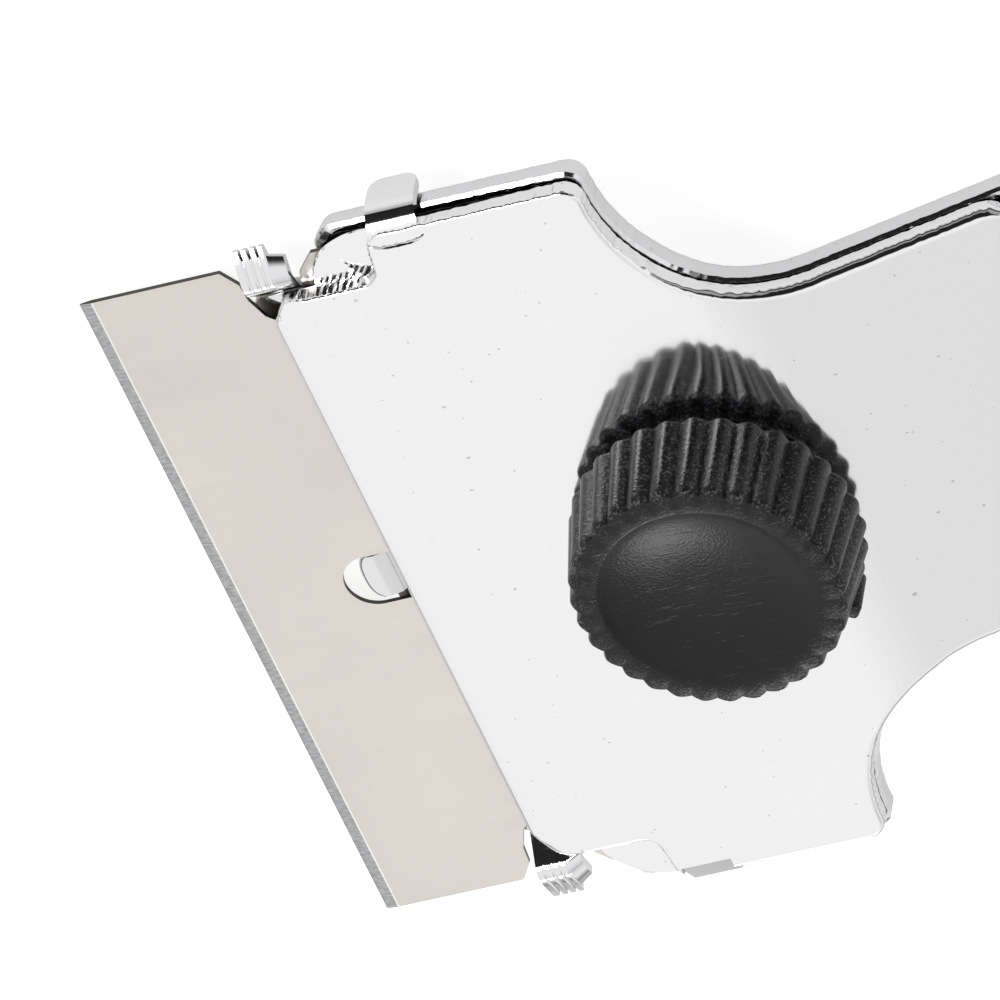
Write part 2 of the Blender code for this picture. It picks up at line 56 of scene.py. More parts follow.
TAIL_X = 104.0
TAIL_R = 9.46
RIVET_X = 44.0
EYELET_X = 88.0
HEAD_HALF = 20.35
HANDLE_HALF = 11.35
HEAD_REAR = 16.65
NECK_R = 7.9
BASE_FRONT = -1.1
BASE_RIM = 1.22
BASE_RIM_RISE = 0.1
BASE_BEND = 0.42
DRAW_MARK = 0.012
EASE = 0.06
RIM_CHAMFER_OUT = 0.16
RIM_CHAMFER_DOWN = 0.12
LEDGE_UP = 0.3
WAVE_RATE, WAVE_HIGH = 1.9, 0.02
DRAWN_RATE, DRAWN_HIGH = 3.7, 0.04
BURR_RATE, BURR_HIGH = 4.1, 0.03
EAR_FROM = -0.5
EAR_LONG = 2.25
EAR_SLICES = 70
EAR_TEETH_TO = 1.1
EAR_TOOTH_DEEP = 0.5
EAR_CREST_DEEP = 0.04
EAR_REAR_FALL = 0.25
EAR_REAR_CUT = 0.35
EAR_HUB = 16.6
EAR_ROOT = 1.1
EAR_R = 0.8
EAR_CURL_R = 0.35
EAR_T = 0.44
EAR_TIP = 20.1
EAR_TOP = -0.3
EAR_SLOPE = 50.0
EAR_DROOP = 22.0
EAR_TEETH = 4
SEAT_HALF = 16.9
REAR_OF_EAR = 1.7
TONGUE_FRONT = -2.14
TONGUE_HALF = 1.27
TONGUE_Z = -1.42
TONGUE_ROLL = 0.3
TONGUE_NOSE = 0.6
TONGUE_REAR = 1.97
SEAT_FLOOR = -1.55
CHROME = (0.8, 0.8, 0.81)
# dark colour for the painted shade in the plating's narrow gaps, and for its small pits
PIT_AND_GAP_SHADE = (0.05, 0.05, 0.05)
RIB_PITCH = 0.33

# tool puts the tool's own millimetres into the frame: x runs back from the clamp plate's front edge,
# z up along the stud from the top of that plate
turn = next(j for j in frame["record"]["behaviour"]["joints"] if j["name"] == "knob_turn")
up = Vector(turn["axis"])
along = Vector((up.z, 0.0, -up.x))
front = Vector(turn["pos_m"]) - along * (KNOB_X * MM)
tool = Matrix((
    (along.x * MM, 0.0, up.x * MM, front.x),
    (0.0, MM, 0.0, front.y),
    (along.z * MM, 0.0, up.z * MM, front.z),
    (0.0, 0.0, 0.0, 1.0),
))


def ramp(value, low, high):
    """0 at low and before it, 1 at high and beyond."""
    return min(1.0, max(0.0, (value - low) / (high - low)))


def bend_handle(co):
    """A point of the flat pressing, moved to where the bent handle has it."""
    if co.x <= BEND_FROM:
        return co.copy()
    mid = -THICK / 2.0
    angle = min((co.x - BEND_FROM) / BEND_R, math.radians(BEND_DEG))
    beyond = max(0.0, co.x - BEND_TO)
    arm = BEND_R + co.z - mid
    x = BEND_FROM + arm * math.sin(angle) + beyond * math.cos(angle)
    z = mid - BEND_R + arm * math.cos(angle) - beyond * math.sin(angle)
    return Vector((x, co.y, z))


def blank_outline(corners, spacing=0.2):
    """Closed outline of a blank, from its +Y half through (x, y, radius) corners."""
    half = [Vector(corners[0][:2])]
    for before, here, after in zip(corners, corners[1:], corners[2:]):
        p = Vector(here[:2])
        d1 = (Vector(before[:2]) - p).normalized()
        d2 = (Vector(after[:2]) - p).normalized()
        wedge = d1.angle(d2) / 2.0
        reach = here[2] / math.tan(wedge)
        centre = p + (d1 + d2).normalized() * (here[2] / math.sin(wedge))
        start = p + d1 * reach - centre
        sweep = start.angle_signed(p + d2 * reach - centre)
        steps = math.ceil(max(abs(math.degrees(sweep)) / 7.5, here[2] * abs(sweep) / spacing))
        half += [centre + Matrix.Rotation(-sweep * k / steps, 2) @ start for k in range(steps + 1)]
    half.append(Vector(corners[-1][:2]))
    dense = []
    for a, b in zip(half, half[1:]):
        parts = max(1, math.ceil((b - a).length / spacing))
        dense += [a.lerp(b, k / parts) for k in range(parts)]
    dense.append(half[-1])
    return dense + [Vector((p.x, -p.y)) for p in reversed(dense[1:-1])]


def inset(points, amounts):
    """An outline moved inwards, at each point by an amount of its own."""
    moved = []
    count = len(points)
    for i, p in enumerate(points):
        e1 = (p - points[i - 1]).normalized()
        e2 = (points[(i + 1) % count] - p).normalized()
        n1 = Vector((e1.y, -e1.x))
        mid = (n1 + Vector((e2.y, -e2.x))).normalized()
        moved.append(p + mid * (amounts[i] / max(mid.dot(n1), 0.3)))
    return moved


def skin(bm, rings, closed=False):
    """Quads between neighbouring rings of vertices, and caps on the two ends unless closed."""
    pairs = list(zip(rings, rings[1:]))
    if closed:
        pairs.append((rings[-1], rings[0]))
    for a, b in pairs:
        for i in range(len(a)):
            j = (i + 1) % len(a)
            bm.faces.new((a[i], a[j], b[j], b[i]))
    if not closed:
        bm.faces.new(rings[0])
        bm.faces.new(rings[-1])
    return bm


def pressed_tray(top, low, depths, radii, turned_over, ribs, upward, seed):
    """A tray with a rounded bend and a rim that follows the outline, slightly uneven as pressed.

    top and low are the outline at the bend and at the rim's free edge: where they differ, the rim
    ends in a ledge. depths and radii are the rim's depth and its bend's radius at each point, ribs
    is how far the draw marks stand on it, and turned_over is 1 where the rim is bent and 0 where
    the sheet just ends. Each row of plain and of rim is one line of the section, outside first.
    """
    plain = [0.5, 0.42, 0.34, 0.26, 0.18, 0.1, 0.03]
    plain = [(out, 0.0 if out > 0.05 else 0.03) for out in plain]
    plain += [(0.0, SHEET * k) for k in (0.2, 0.35, 0.5, 0.65, 0.85)] + [(EASE, SHEET)]
    plain += [(SHEET * k, SHEET) for k in (0.4, 0.6, 0.8, 1.0)] + [(SHEET + EASE, SHEET)]
    bends = [math.radians(15.0 * k) for k in range(7)]
    bm = bmesh.new()
    rings = []
    for row, (out0, down0) in enumerate(plain):
        path = []
        outs = []
        downs = []
        for p, q, depth, r, g, rib in zip(top, low, depths, radii, turned_over, ribs):
            rim = [(r * (1.0 - math.sin(a)), r * (1.0 - math.cos(a)), 0.0) for a in bends]
            ledge = depth - LEDGE_UP
            rim += [(0.0, (r + ledge) / 2.0, 0.0), (0.0, ledge, 0.0), (0.0, depth - 0.25, 0.0)]
            rim += [(0.0, depth - 0.19, 0.96), (0.0, depth - RIM_CHAMFER_DOWN, 1.0)]
            rim += [(RIM_CHAMFER_OUT, depth, 1.0), (SHEET - 0.05, depth, 1.0)]
            rim += [(SHEET, depth - 0.03, 1.0), (SHEET, depth - EASE, 0.0)]
            rim += [(SHEET, SHEET + EASE, 0.0), (SHEET + EASE, SHEET, 0.0)]
            out1, down1, share = rim[row]
            path.append(p.lerp(q, share * g))
            wave = WAVE_HIGH * noise.noise(Vector((p.x * WAVE_RATE, p.y * WAVE_RATE, seed)))
            burr = BURR_HIGH * noise.noise(Vector((p.x * BURR_RATE, p.y * BURR_RATE, seed + 5.0)))
            drawn = DRAWN_HIGH * noise.noise(Vector((p.x * DRAWN_RATE, p.y * DRAWN_RATE, seed + 9.0)))
            uneven = g * ramp(row, 1, 5)
            mark = rib * math.sin(math.tau * (p.x + abs(p.y)) / RIB_PITCH) if 5 <= row <= 8 else 0.0
            calm = 1.0 if p == q else ramp(row, 9, 7)
            outs.append(out0 + (out1 - out0) * g + ((wave + drawn) * calm + mark) * uneven)
            torn = burr * g * calm if 11 <= row <= 14 else 0.0
            downs.append(down0 + (down1 - down0) * g + torn)
        ring = []
        for p, d in zip(inset(path, outs), downs):
            ring.append(bm.verts.new((p.x, p.y, d - THICK if upward else -d)))
        rings.append(ring)
    return skin(bm, rings)


def turned(profile, x, steps=64, ring=False):
    """A turned body on the axis at x; profile holds (radius, z) points, closed by itself in a ring."""
    bm = bmesh.new()
    columns = []
    for k in range(steps):
        a = math.tau * k / steps
        spots = [(x + r * math.cos(a), r * math.sin(a), z) for r, z in profile]
        columns.append([bm.verts.new(s) for s in spots])
    last = len(profile) if ring else len(profile) - 1
    for k, one in enumerate(columns):
        two = columns[(k + 1) % steps]
        for i in range(last):
            j = (i + 1) % len(profile)
            bm.faces.new((one[i], one[j], two[j], two[i]))
    bmesh.ops.remove_doubles(bm, verts=bm.verts, dist=1e-5)
    return bm


def drill(radius, x):
    """A cutter for a round hole through the whole tool at x."""
    return turned([(0.0, 2.0), (radius, 2.0), (radius, -6.0), (0.0, -6.0)], x)


def loose(name, bm):
    """A new object from a body, still in the tool's millimetres."""
    bmesh.ops.recalc_face_normals(bm, faces=bm.faces)
    mesh = bpy.data.meshes.new(name)
    bm.to_mesh(mesh)
    bm.free()
    obj = bpy.data.objects.new(name, mesh)
    bpy.context.scene.collection.objects.link(obj)
    return obj


def join(obj, bm, how):
    """Weld another body to a piece, or cut it out of the piece."""
    other = loose("cutter", bm)
    step = obj.modifiers.new("step", "BOOLEAN")
    step.operation = how
    step.solver = "EXACT"
    step.object = other
    graph = bpy.context.evaluated_depsgraph_get()
    mesh = bpy.data.meshes.new_from_object(obj.evaluated_get(graph))
    obj.modifiers.clear()
    obj.data = mesh
    bpy.data.objects.remove(other, do_unlink=True)


def lay_down(obj, material, shape=None, lines=(), sharp_deg=32.0):
    """Bend the piece, put it where the tool lies, and give it smooth faces with crisp edges."""
    bm = bmesh.new()
    bm.from_mesh(obj.data)
    bmesh.ops.remove_doubles(bm, verts=bm.verts, dist=1e-4)
    # points that only lie along a straight edge would leave slivers in the mesh
    on_edge = [v for v in bm.verts if len(v.link_edges) == 2]
    spare = [v for v in on_edge if v.calc_edge_angle() < math.radians(8.0)]
    bmesh.ops.dissolve_verts(bm, verts=spare)
    for x in lines:
        geom = list(bm.verts) + list(bm.edges) + list(bm.faces)
        bmesh.ops.bisect_plane(bm, geom=geom, dist=1e-4, plane_co=(x, 0, 0), plane_no=(1, 0, 0))
    for v in bm.verts:
        v.co = tool @ (shape(v.co) if shape else v.co)
    bm.to_mesh(obj.data)
    bm.free()
    mesh = obj.data
    mesh.polygons.foreach_set("use_smooth", [True] * len(mesh.polygons))
    mesh.set_sharp_from_angle(angle=math.radians(sharp_deg))
    even = obj.modifiers.new("even_shading", "WEIGHTED_NORMAL")
    even.keep_sharp = True
    mesh.materials.clear()
    mesh.materials.append(material)


def shader_group(name, inputs, outputs):
    """An empty node group with named float sockets; returns its tree, its input and output nodes."""
    tree = bpy.data.node_groups.new(name, "ShaderNodeTree")
    for label, value in inputs:
        socket = tree.interface.new_socket(label, in_out="INPUT", socket_type="NodeSocketFloat")
        socket.default_value = value
    for label in outputs:
        tree.interface.new_socket(label, in_out="OUTPUT", socket_type="NodeSocketFloat")
    return tree, tree.nodes.new("NodeGroupInput"), tree.nodes.new("NodeGroupOutput")


def math_node(tree, how, a, b):
    """A Math node on two sockets or numbers; returns its output."""
    node = tree.nodes.new("ShaderNodeMath")
    node.operation = how
    for socket, value in zip(node.inputs, (a, b)):
        if isinstance(value, bpy.types.NodeSocket):
            tree.links.new(value, socket)
        else:
            socket.default_value = value
    return node.outputs[0]


def noise_node(tree, place, scale, detail):
    """Noise at a place in the material; scale is a socket or a number."""
    node = tree.nodes.new("ShaderNodeTexNoise")
    node.inputs["Detail"].default_value = detail
    tree.links.new(place, node.inputs["Vector"])
    if isinstance(scale, bpy.types.NodeSocket):
        tree.links.new(scale, node.inputs["Scale"])
    else:
        node.inputs["Scale"].default_value = scale
    return node.outputs[0]


def range_node(tree, value, low, high, to_low, to_high):
    """A value taken from low..high to to_low..to_high and held there beyond."""
    node = tree.nodes.new("ShaderNodeMapRange")
    tree.links.new(value, node.inputs["Value"])
    for label, part in (("From Min", low), ("From Max", high), ("To Min", to_low), ("To Max", to_high)):
        if isinstance(part, bpy.types.NodeSocket):
            tree.links.new(part, node.inputs[label])
        else:
            node.inputs[label].default_value = part
    return node.outputs[0]


# the slow ripple of polished sheet under plating, and the haze that changes its gloss
ripple, given, put = shader_group(
    "plating_ripple", [("Ripple Scale", 160.0), ("Gloss", 0.06), ("Haze", 0.1)], ["Height", "Roughness"])
place = ripple.nodes.new("ShaderNodeTexCoord").outputs["Object"]
slow = noise_node(ripple, place, given.outputs["Ripple Scale"], 1.0)
fine = noise_node(ripple, place, math_node(ripple, "MULTIPLY", given.outputs["Ripple Scale"], 9.0), 2.0)
both = math_node(ripple, "ADD", slow, math_node(ripple, "MULTIPLY", fine, 0.06))
ripple.links.new(both, put.inputs["Height"])
cloud = noise_node(ripple, place, 210.0, 4.0)
hazy = range_node(ripple, cloud, 0.35, 0.7, given.outputs["Gloss"], given.outputs["Haze"])
ripple.links.new(hazy, put.inputs["Roughness"])

# small pits and short hair scratches from handling: masks, 1 inside a mark
marks, given, put = shader_group(
    "handling_marks",
    [("Pit Scale", 2200.0), ("Pit Edge", 0.74), ("Scratch Share", 0.3)],
    ["Pits", "Scratches"])
place = marks.nodes.new("ShaderNodeTexCoord").outputs["Object"]
speck = noise_node(marks, place, given.outputs["Pit Scale"], 1.0)
full = math_node(marks, "ADD", given.outputs["Pit Edge"], 0.04)
marks.links.new(range_node(marks, speck, given.outputs["Pit Edge"], full, 0.0, 1.0), put.inputs["Pits"])
hairs = 0.0
for angle in (0.75, -0.5, 2.1):
    stretch = marks.nodes.new("ShaderNodeMapping")
    stretch.inputs["Rotation"].default_value = (0.2, 0.1, angle)
    stretch.inputs["Scale"].default_value = (700.0, 6500.0, 900.0)
    marks.links.new(place, stretch.inputs["Vector"])
    hair = noise_node(marks, stretch.outputs["Vector"], 1.0, 2.0)
    hairs = math_node(marks, "MAXIMUM", range_node(marks, hair, 0.66, 0.76, 0.0, 1.0), hairs)
marks.links.new(math_node(marks, "MULTIPLY", hairs, given.outputs["Scratch Share"]), put.inputs["Scratches"])


def finish_for(name, metallic, colour):
    """A new node material: its tree and its shader, with the constants set on the shader."""
    mat = bpy.data.materials.new(name)
    mat.use_nodes = True
    shader = mat.node_tree.nodes["Principled BSDF"]
    shader.inputs["Metallic"].default_value = metallic
    shader.inputs["Base Color"].default_value = (*colour, 1.0)
    return mat, mat.node_tree, shader


def use_group(tree, group, **values):
    """A shared effect placed in a material, with this material's own values."""
    node = tree.nodes.new("ShaderNodeGroup")
    node.node_tree = group
    for label, value in values.items():
        node.inputs[label.replace("_", " ")].default_value = value
    return node


def blend_colour(tree, mask, one, two, shader):
    """Base Color from one to two, colours or sockets, as the mask goes from 0 to 1."""
    mix = tree.nodes.new("ShaderNodeMix")
    mix.data_type = "RGBA"
    for label, tone in (("A", one), ("B", two)):
        if isinstance(tone, bpy.types.NodeSocket):
            tree.links.new(tone, mix.inputs[label])
        else:
            mix.inputs[label].default_value = (*tone, 1.0)
    tree.links.new(mask, mix.inputs["Factor"])
    tree.links.new(mix.outputs["Result"], shader.inputs["Base Color"])
    return mix.outputs["Result"]


def emboss(tree, height, shader, strength, depth):
    """Relief too fine for the mesh, on the shader's normal."""
    bump = tree.nodes.new("ShaderNodeBump")
    bump.inputs["Strength"].default_value = strength
    bump.inputs["Distance"].default_value = depth
    tree.links.new(height, bump.inputs["Height"])
    tree.links.new(bump.outputs["Normal"], shader.inputs["Normal"])


def bright_plating(name, colour, gloss, haze, ripple_scale):
    """Nickel-chrome plating on pressed steel: bright, slightly rippled, darkened by painted shade in its
    narrow gaps.
    """
    mat, tree, shader = finish_for(name, 1.0, colour)
    wave = use_group(tree, ripple, Ripple_Scale=ripple_scale, Gloss=gloss, Haze=haze)
    worn = use_group(tree, marks, Pit_Scale=2600.0, Pit_Edge=0.76, Scratch_Share=0.06)
    dulled = math_node(tree, "ADD", wave.outputs["Roughness"], worn.outputs["Scratches"])
    tree.links.new(dulled, shader.inputs["Roughness"])
    # painted shade: the colour goes dark where ambient occlusion finds narrow gaps, seams and recesses; the
    # small pits darken it too
    gap = tree.nodes.new("ShaderNodeAmbientOcclusion")
    gap.samples = 8
    gap.inputs["Distance"].default_value = 0.0008
    gap_shade = range_node(tree, gap.outputs["AO"], 0.15, 0.6, 1.0, 0.0)
    spots = math_node(tree, "MULTIPLY", worn.outputs["Pits"], 0.35)
    blend_colour(tree, math_node(tree, "MAXIMUM", gap_shade, spots), colour, PIT_AND_GAP_SHADE, shader)
    emboss(tree, wave.outputs["Height"], shader, 0.05, 0.0003)
    return mat


NECK = [(HEAD_REAR, HEAD_HALF, CORNER_R), (HEAD_REAR, HANDLE_HALF, NECK_R)]
BEND_LINES = [BEND_FROM + (BEND_TO - BEND_FROM) * k / 12.0 for k in range(13)]
outline = blank_outline([
    (BASE_FRONT, 0.0),
    (BASE_FRONT, SEAT_HALF, CORNER_R),
    (REAR_OF_EAR + 1.0, SEAT_HALF, 0.4),
    (REAR_OF_EAR + 1.4, HEAD_HALF - 1.1, CORNER_R),
    (REAR_OF_EAR + 2.4, HEAD_HALF, CORNER_R),
    *NECK,
    (TAIL_X, HANDLE_HALF, TAIL_R),
    (TAIL_X, 0.0),
], 0.13)
turned_over = [ramp(p.x, REAR_OF_EAR + 1.1, REAR_OF_EAR + 2.4) for p in outline]
rim_tops = [BASE_RIM + BASE_RIM_RISE * ramp(p.x, 12.0, 16.0) for p in outline]
rim_bends = [BASE_BEND] * len(outline)
draw_marks = [DRAW_MARK] * len(outline)
base = loose("base_pressing", pressed_tray(
    outline, outline, rim_tops, rim_bends, turned_over, draw_marks, True, 1.0))

# the two ears: a root on the base, a slope up and out, a crest that curls over, and a toothed tip
slope = math.radians(EAR_SLOPE)
droop = math.radians(EAR_DROOP)
for side in (1.0, -1.0):
    foot = -THICK + 0.03
    bm = bmesh.new()
    rings = []
    for s in range(EAR_SLICES):
        x = EAR_FROM + EAR_LONG * s / (EAR_SLICES - 1.0)
        cell = EAR_TEETH * ramp(x, EAR_FROM, EAR_TEETH_TO) % 1.0
        nick = (1.0 - ramp(min(cell, 1.0 - cell), 0.08, 0.22)) * ramp(s, 3, 8)
        fall = ramp(x, EAR_TEETH_TO, EAR_FROM + EAR_LONG)
        crest = EAR_TOP - EAR_T - EAR_CREST_DEEP * nick - EAR_REAR_FALL * fall
        rise = crest - foot - (EAR_R + EAR_CURL_R) * (1.0 - math.cos(slope))
        run = rise / math.tan(slope)
        angles = [slope * k / 5.0 for k in range(6)]
        under = [(EAR_HUB + EAR_R * math.sin(t), foot + EAR_R * (1.0 - math.cos(t)), t) for t in angles]
        top_y = EAR_HUB + (EAR_R + EAR_CURL_R) * math.sin(slope) + run
        for k in range(10):
            t = slope - (slope + droop) * k / 9.0
            under.append((top_y - EAR_CURL_R * math.sin(t), crest - EAR_CURL_R * (1.0 - math.cos(t)), t))
        last_y, last_z, last_t = under[-1]
        tip = EAR_TIP - EAR_TOOTH_DEEP * nick - EAR_REAR_CUT * fall
        under.append((tip, last_z - (tip - last_y) * math.tan(droop), last_t))
        over = [(y - EAR_T * math.sin(t), z + EAR_T * math.cos(t)) for y, z, t in under]
        section = [(EAR_HUB - EAR_ROOT, foot)] + [(y, z) for y, z, t in under[:-1]]
        section += [(tip - 0.06, under[-1][1]), (tip + 0.02, under[-1][1] + 0.06)]
        section += [(over[-1][0] - 0.02, over[-1][1] - 0.06), (over[-1][0] - 0.08, over[-1][1])]
        section += over[-2::-1]
        section.append((EAR_HUB - EAR_ROOT, foot + EAR_T))
        rings.append([bm.verts.new((x, side * y, z)) for y, z in section])
    join(base, skin(bm, rings), "UNION")

# the tongue: a rolled nose, then two flat facets that fall to the base
bm = bmesh.new()
rings = []
for s in range(19):
    across = max(-1.0, min(1.0, -1.09 + 1.09 * s / 9.0))
    edge = 0.07 if s in (0, 18) else 0.0
    nose = TONGUE_FRONT + TONGUE_NOSE * (1.0 - math.sqrt(max(0.0, 1.0 - abs(across) ** 2.6)))
    roll = [math.pi / 2.0 * k / 6.0 for k in range(7)]
    section = [(nose + TONGUE_ROLL * (1.0 - math.cos(t)), TONGUE_Z - TONGUE_ROLL * (1.0 - math.sin(t)))
               for t in roll]
    section += [
        (-1.22, TONGUE_Z),
        (-1.18, TONGUE_Z - 0.008),
        (-0.59, TONGUE_Z - 0.155),
        (-0.55, TONGUE_Z - 0.168),
        (0.12, -THICK + SHEET - 0.005),
        (TONGUE_REAR, -THICK + SHEET - 0.03),
        (TONGUE_REAR, -THICK + 0.05),
        (-0.6, -THICK + 0.05),
        (-1.1, TONGUE_Z - 0.45),
        (nose + TONGUE_ROLL, TONGUE_Z - 0.42),
        (nose + 0.06, TONGUE_Z - 0.4),
    ]
    rings.append([bm.verts.new((x, across * TONGUE_HALF, z - edge)) for x, z in section])
join(base, skin(bm, rings), "UNION")

# the stud's hole, and the seats and holes of the two rivets
STUD_R = 2.0
join(base, drill(STUD_R + 0.3, KNOB_X), "DIFFERENCE")
RIVET_HEAD_R = 3.61
BRIM_R = 5.3
RIVET_BORE = 2.2
EYELET_BORE = 4.4
for x, head, bore in ((RIVET_X, RIVET_HEAD_R, RIVET_BORE), (EYELET_X, BRIM_R, EYELET_BORE)):
    mouth = head + 0.3
    top = SEAT_FLOOR + SHEET
    swell = mouth + SHEET
    block = [(0.0, top), (swell - 0.35, top), (swell - 0.1, top - 0.1), (swell, top - 0.35)]
    block += [(swell, -2.1), (0.0, -2.1)]
    room = [(0.0, SEAT_FLOOR), (mouth - 0.15, SEAT_FLOOR), (mouth, SEAT_FLOOR - 0.15)]
    room += [(mouth, -THICK + 0.16), (mouth + 0.05, -THICK + 0.06), (mouth + 0.16, -THICK)]
    room += [(mouth + 0.16, -4.0), (0.0, -4.0)]
    join(base, turned(block, x, 72), "UNION")
    join(base, turned(room, x, 72), "DIFFERENCE")
    join(base, drill(bore, x), "DIFFERENCE")
base_plating = bright_plating("base_plating", CHROME, 0.07, 0.12, 140.0)
lay_down(base, base_plating, bend_handle, BEND_LINES)
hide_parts("base_plate")
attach(base, "base")

# Handle cover: the upper shell of the handle behind the clamp plate, pressed from the same sheet.
# It meets the base rim to rim, and the rivet and the eyelet hold the two together.
HANDLE_FRONT = 34.5
COVER_SIDE = 11.22
REAR_CORNER_R = 1.6
SHELL_RIM = 1.0
SHELL_BEND = 0.58
shell_outline = blank_outline([
    (HANDLE_FRONT, 0.0),
    (HANDLE_FRONT, COVER_SIDE, REAR_CORNER_R),
    (TAIL_X - 0.25, COVER_SIDE, TAIL_R - 0.25),
    (TAIL_X - 0.25, 0.0),
])
count = len(shell_outline)
shell = loose("handle_shell", pressed_tray(
    shell_outline, shell_outline, [SHELL_RIM] * count, [SHELL_BEND] * count, [1.0] * count,
    [DRAW_MARK] * count, False, 2.0))
for x, bore in ((RIVET_X, RIVET_BORE), (EYELET_X, EYELET_BORE)):
    join(shell, drill(bore, x), "DIFFERENCE")
shell_plating = bright_plating("handle_plating", CHROME, 0.07, 0.12, 150.0)
lay_down(shell, shell_plating, bend_handle)
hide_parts("handle_cover")
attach(shell, "base")

# Handle rivet: a solid steel rivet, plated, headed over at both ends to hold the shells together.
# Its lower head lies in the seat, so that the back of the handle stays flat.
RIVET_R = 1.9
RIVET_HEAD_T = 0.5
low = SEAT_FLOOR - 0.3
profile = [(RIVET_HEAD_R * math.sin(a), 0.3 + RIVET_HEAD_T * math.cos(a))
           for a in (math.pi / 2.0 * k / 10.0 for k in range(11))]
profile += [(RIVET_R, 0.3), (RIVET_R, low)]
profile += [(RIVET_HEAD_R * math.sin(a), low - RIVET_HEAD_T * math.cos(a))
            for a in (math.pi / 2.0 * k / 10.0 for k in range(10, -1, -1))]
rivet = loose("rivet_solid", turned(profile, RIVET_X, 72))
rivet_plating = bright_plating("rivet_plating", (0.74, 0.74, 0.75), 0.16, 0.28, 400.0)
lay_down(rivet, rivet_plating, bend_handle)
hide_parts("handle_rivet")
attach(rivet, "base")

# Tail eyelet: a hollow rivet of thin plated tube, rolled over at both ends.
# It joins the shells at the tail and makes the hole that the tool hangs by.
EYELET_R = 4.1
BORE_R = 3.5
BRIM_T = 0.3
low = SEAT_FLOOR - 0.2
profile = []
for z, sign, order in ((0.2, 1.0, 1), (low, -1.0, -1)):
    roll = [
        (BORE_R, z - sign * 0.1),
        (BORE_R + 0.06, z + sign * BRIM_T * 0.6),
        (BORE_R + 0.3, z + sign * BRIM_T),
        (BRIM_R - 0.45, z + sign * BRIM_T),
        (BRIM_R - 0.12, z + sign * BRIM_T * 0.8),
        (BRIM_R, z + sign * BRIM_T * 0.4),
        (BRIM_R - 0.1, z),
        (EYELET_R, z),
    ]
    profile += roll[::order]
eyelet = loose("eyelet_hollow", turned(profile, EYELET_X, 80, True))
eyelet_plating = bright_plating("eyelet_plating", (0.76, 0.76, 0.77), 0.12, 0.22, 350.0)
lay_down(eyelet, eyelet_plating, bend_handle)
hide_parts("tail_eyelet")
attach(eyelet, "base")

# Clamp stud: a zinc-plated steel stud with a low domed head under the base.
# Its shank stands up through the base and the clamp plate into the knob.
STUD_TOP = 3.65
STUD_HEAD_R = 4.2
HEAD_Z = -THICK - 0.3
HEAD_T = 1.2
profile = [(0.0, STUD_TOP), (STUD_R - 0.3, STUD_TOP), (STUD_R, STUD_TOP - 0.3), (STUD_R, HEAD_Z)]
profile += [(STUD_HEAD_R - 0.1, HEAD_Z), (STUD_HEAD_R, HEAD_Z - 0.1)]
for k in range(10):
    a = math.pi / 2.0 * k / 9.0
    profile.append((STUD_HEAD_R * math.cos(a), HEAD_Z - HEAD_T * (0.25 + 0.75 * math.sin(a))))
stud = loose("stud_turned", turned(profile, KNOB_X, 72))

# the fine rings that a lathe or a grinding wheel leaves
lines, given, put = shader_group(
    "tool_lines", [("Line Scale", 3000.0), ("Across X", 1.0), ("Across Y", 0.03)], ["Lines"])
place = lines.nodes.new("ShaderNodeTexCoord").outputs["Object"]
parts = lines.nodes.new("ShaderNodeSeparateXYZ")
lines.links.new(place, parts.inputs[0])
joined = lines.nodes.new("ShaderNodeCombineXYZ")
lines.links.new(math_node(lines, "MULTIPLY", parts.outputs[0], given.outputs["Across X"]), joined.inputs[0])
lines.links.new(math_node(lines, "MULTIPLY", parts.outputs[1], given.outputs["Across Y"]), joined.inputs[1])
scored = noise_node(lines, joined.outputs[0], given.outputs["Line Scale"], 3.0)
lines.links.new(scored, put.inputs["Lines"])


def plain_zinc(name, colour):
    """Zinc plating: grey, half-dull, with turning lines and a cloudy bloom."""
    mat, tree, shader = finish_for(name, 1.0, colour)
    wave = use_group(tree, ripple, Ripple_Scale=500.0, Gloss=0.24, Haze=0.42)
    cut = use_group(tree, lines, Line_Scale=2600.0, Across_X=1.0, Across_Y=0.06)
    tree.links.new(wave.outputs["Roughness"], shader.inputs["Roughness"])
    blend_colour(tree, wave.outputs["Height"], colour, tuple(c * 0.78 for c in colour), shader)
    emboss(tree, cut.outputs["Lines"], shader, 0.15, 0.00004)
    return mat


lay_down(stud, plain_zinc("stud_zinc", (0.62, 0.62, 0.63)))
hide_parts("clamp_stud")
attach(stud, "base")

# Razor blade: a single-edge blade of satin carbon steel, blanked with end notches and a slot.
# One long edge is ground; the ears and the tongue of the base hold the blade by its cut-outs.
BLADE_EDGE = -8.55
BLADE_REAR = 10.45
BLADE_HALF = 19.05
BLADE_LOW = -1.5
BLADE_T = 0.25
GRIND = 0.55
HONE = 0.12
NOTCH_X = -1.6
NOTCH_WIDE = 4.5
NOTCH_DEEP = 3.4
SLOT_X = -3.0
SLOT_LONG = 7.0
SLOT_R = 1.45
BLADE_STEEL = (0.615, 0.588, 0.544)
STAINED_STEEL = (0.645, 0.613, 0.565)
BURNISHED_STEEL = (0.85, 0.85, 0.84)
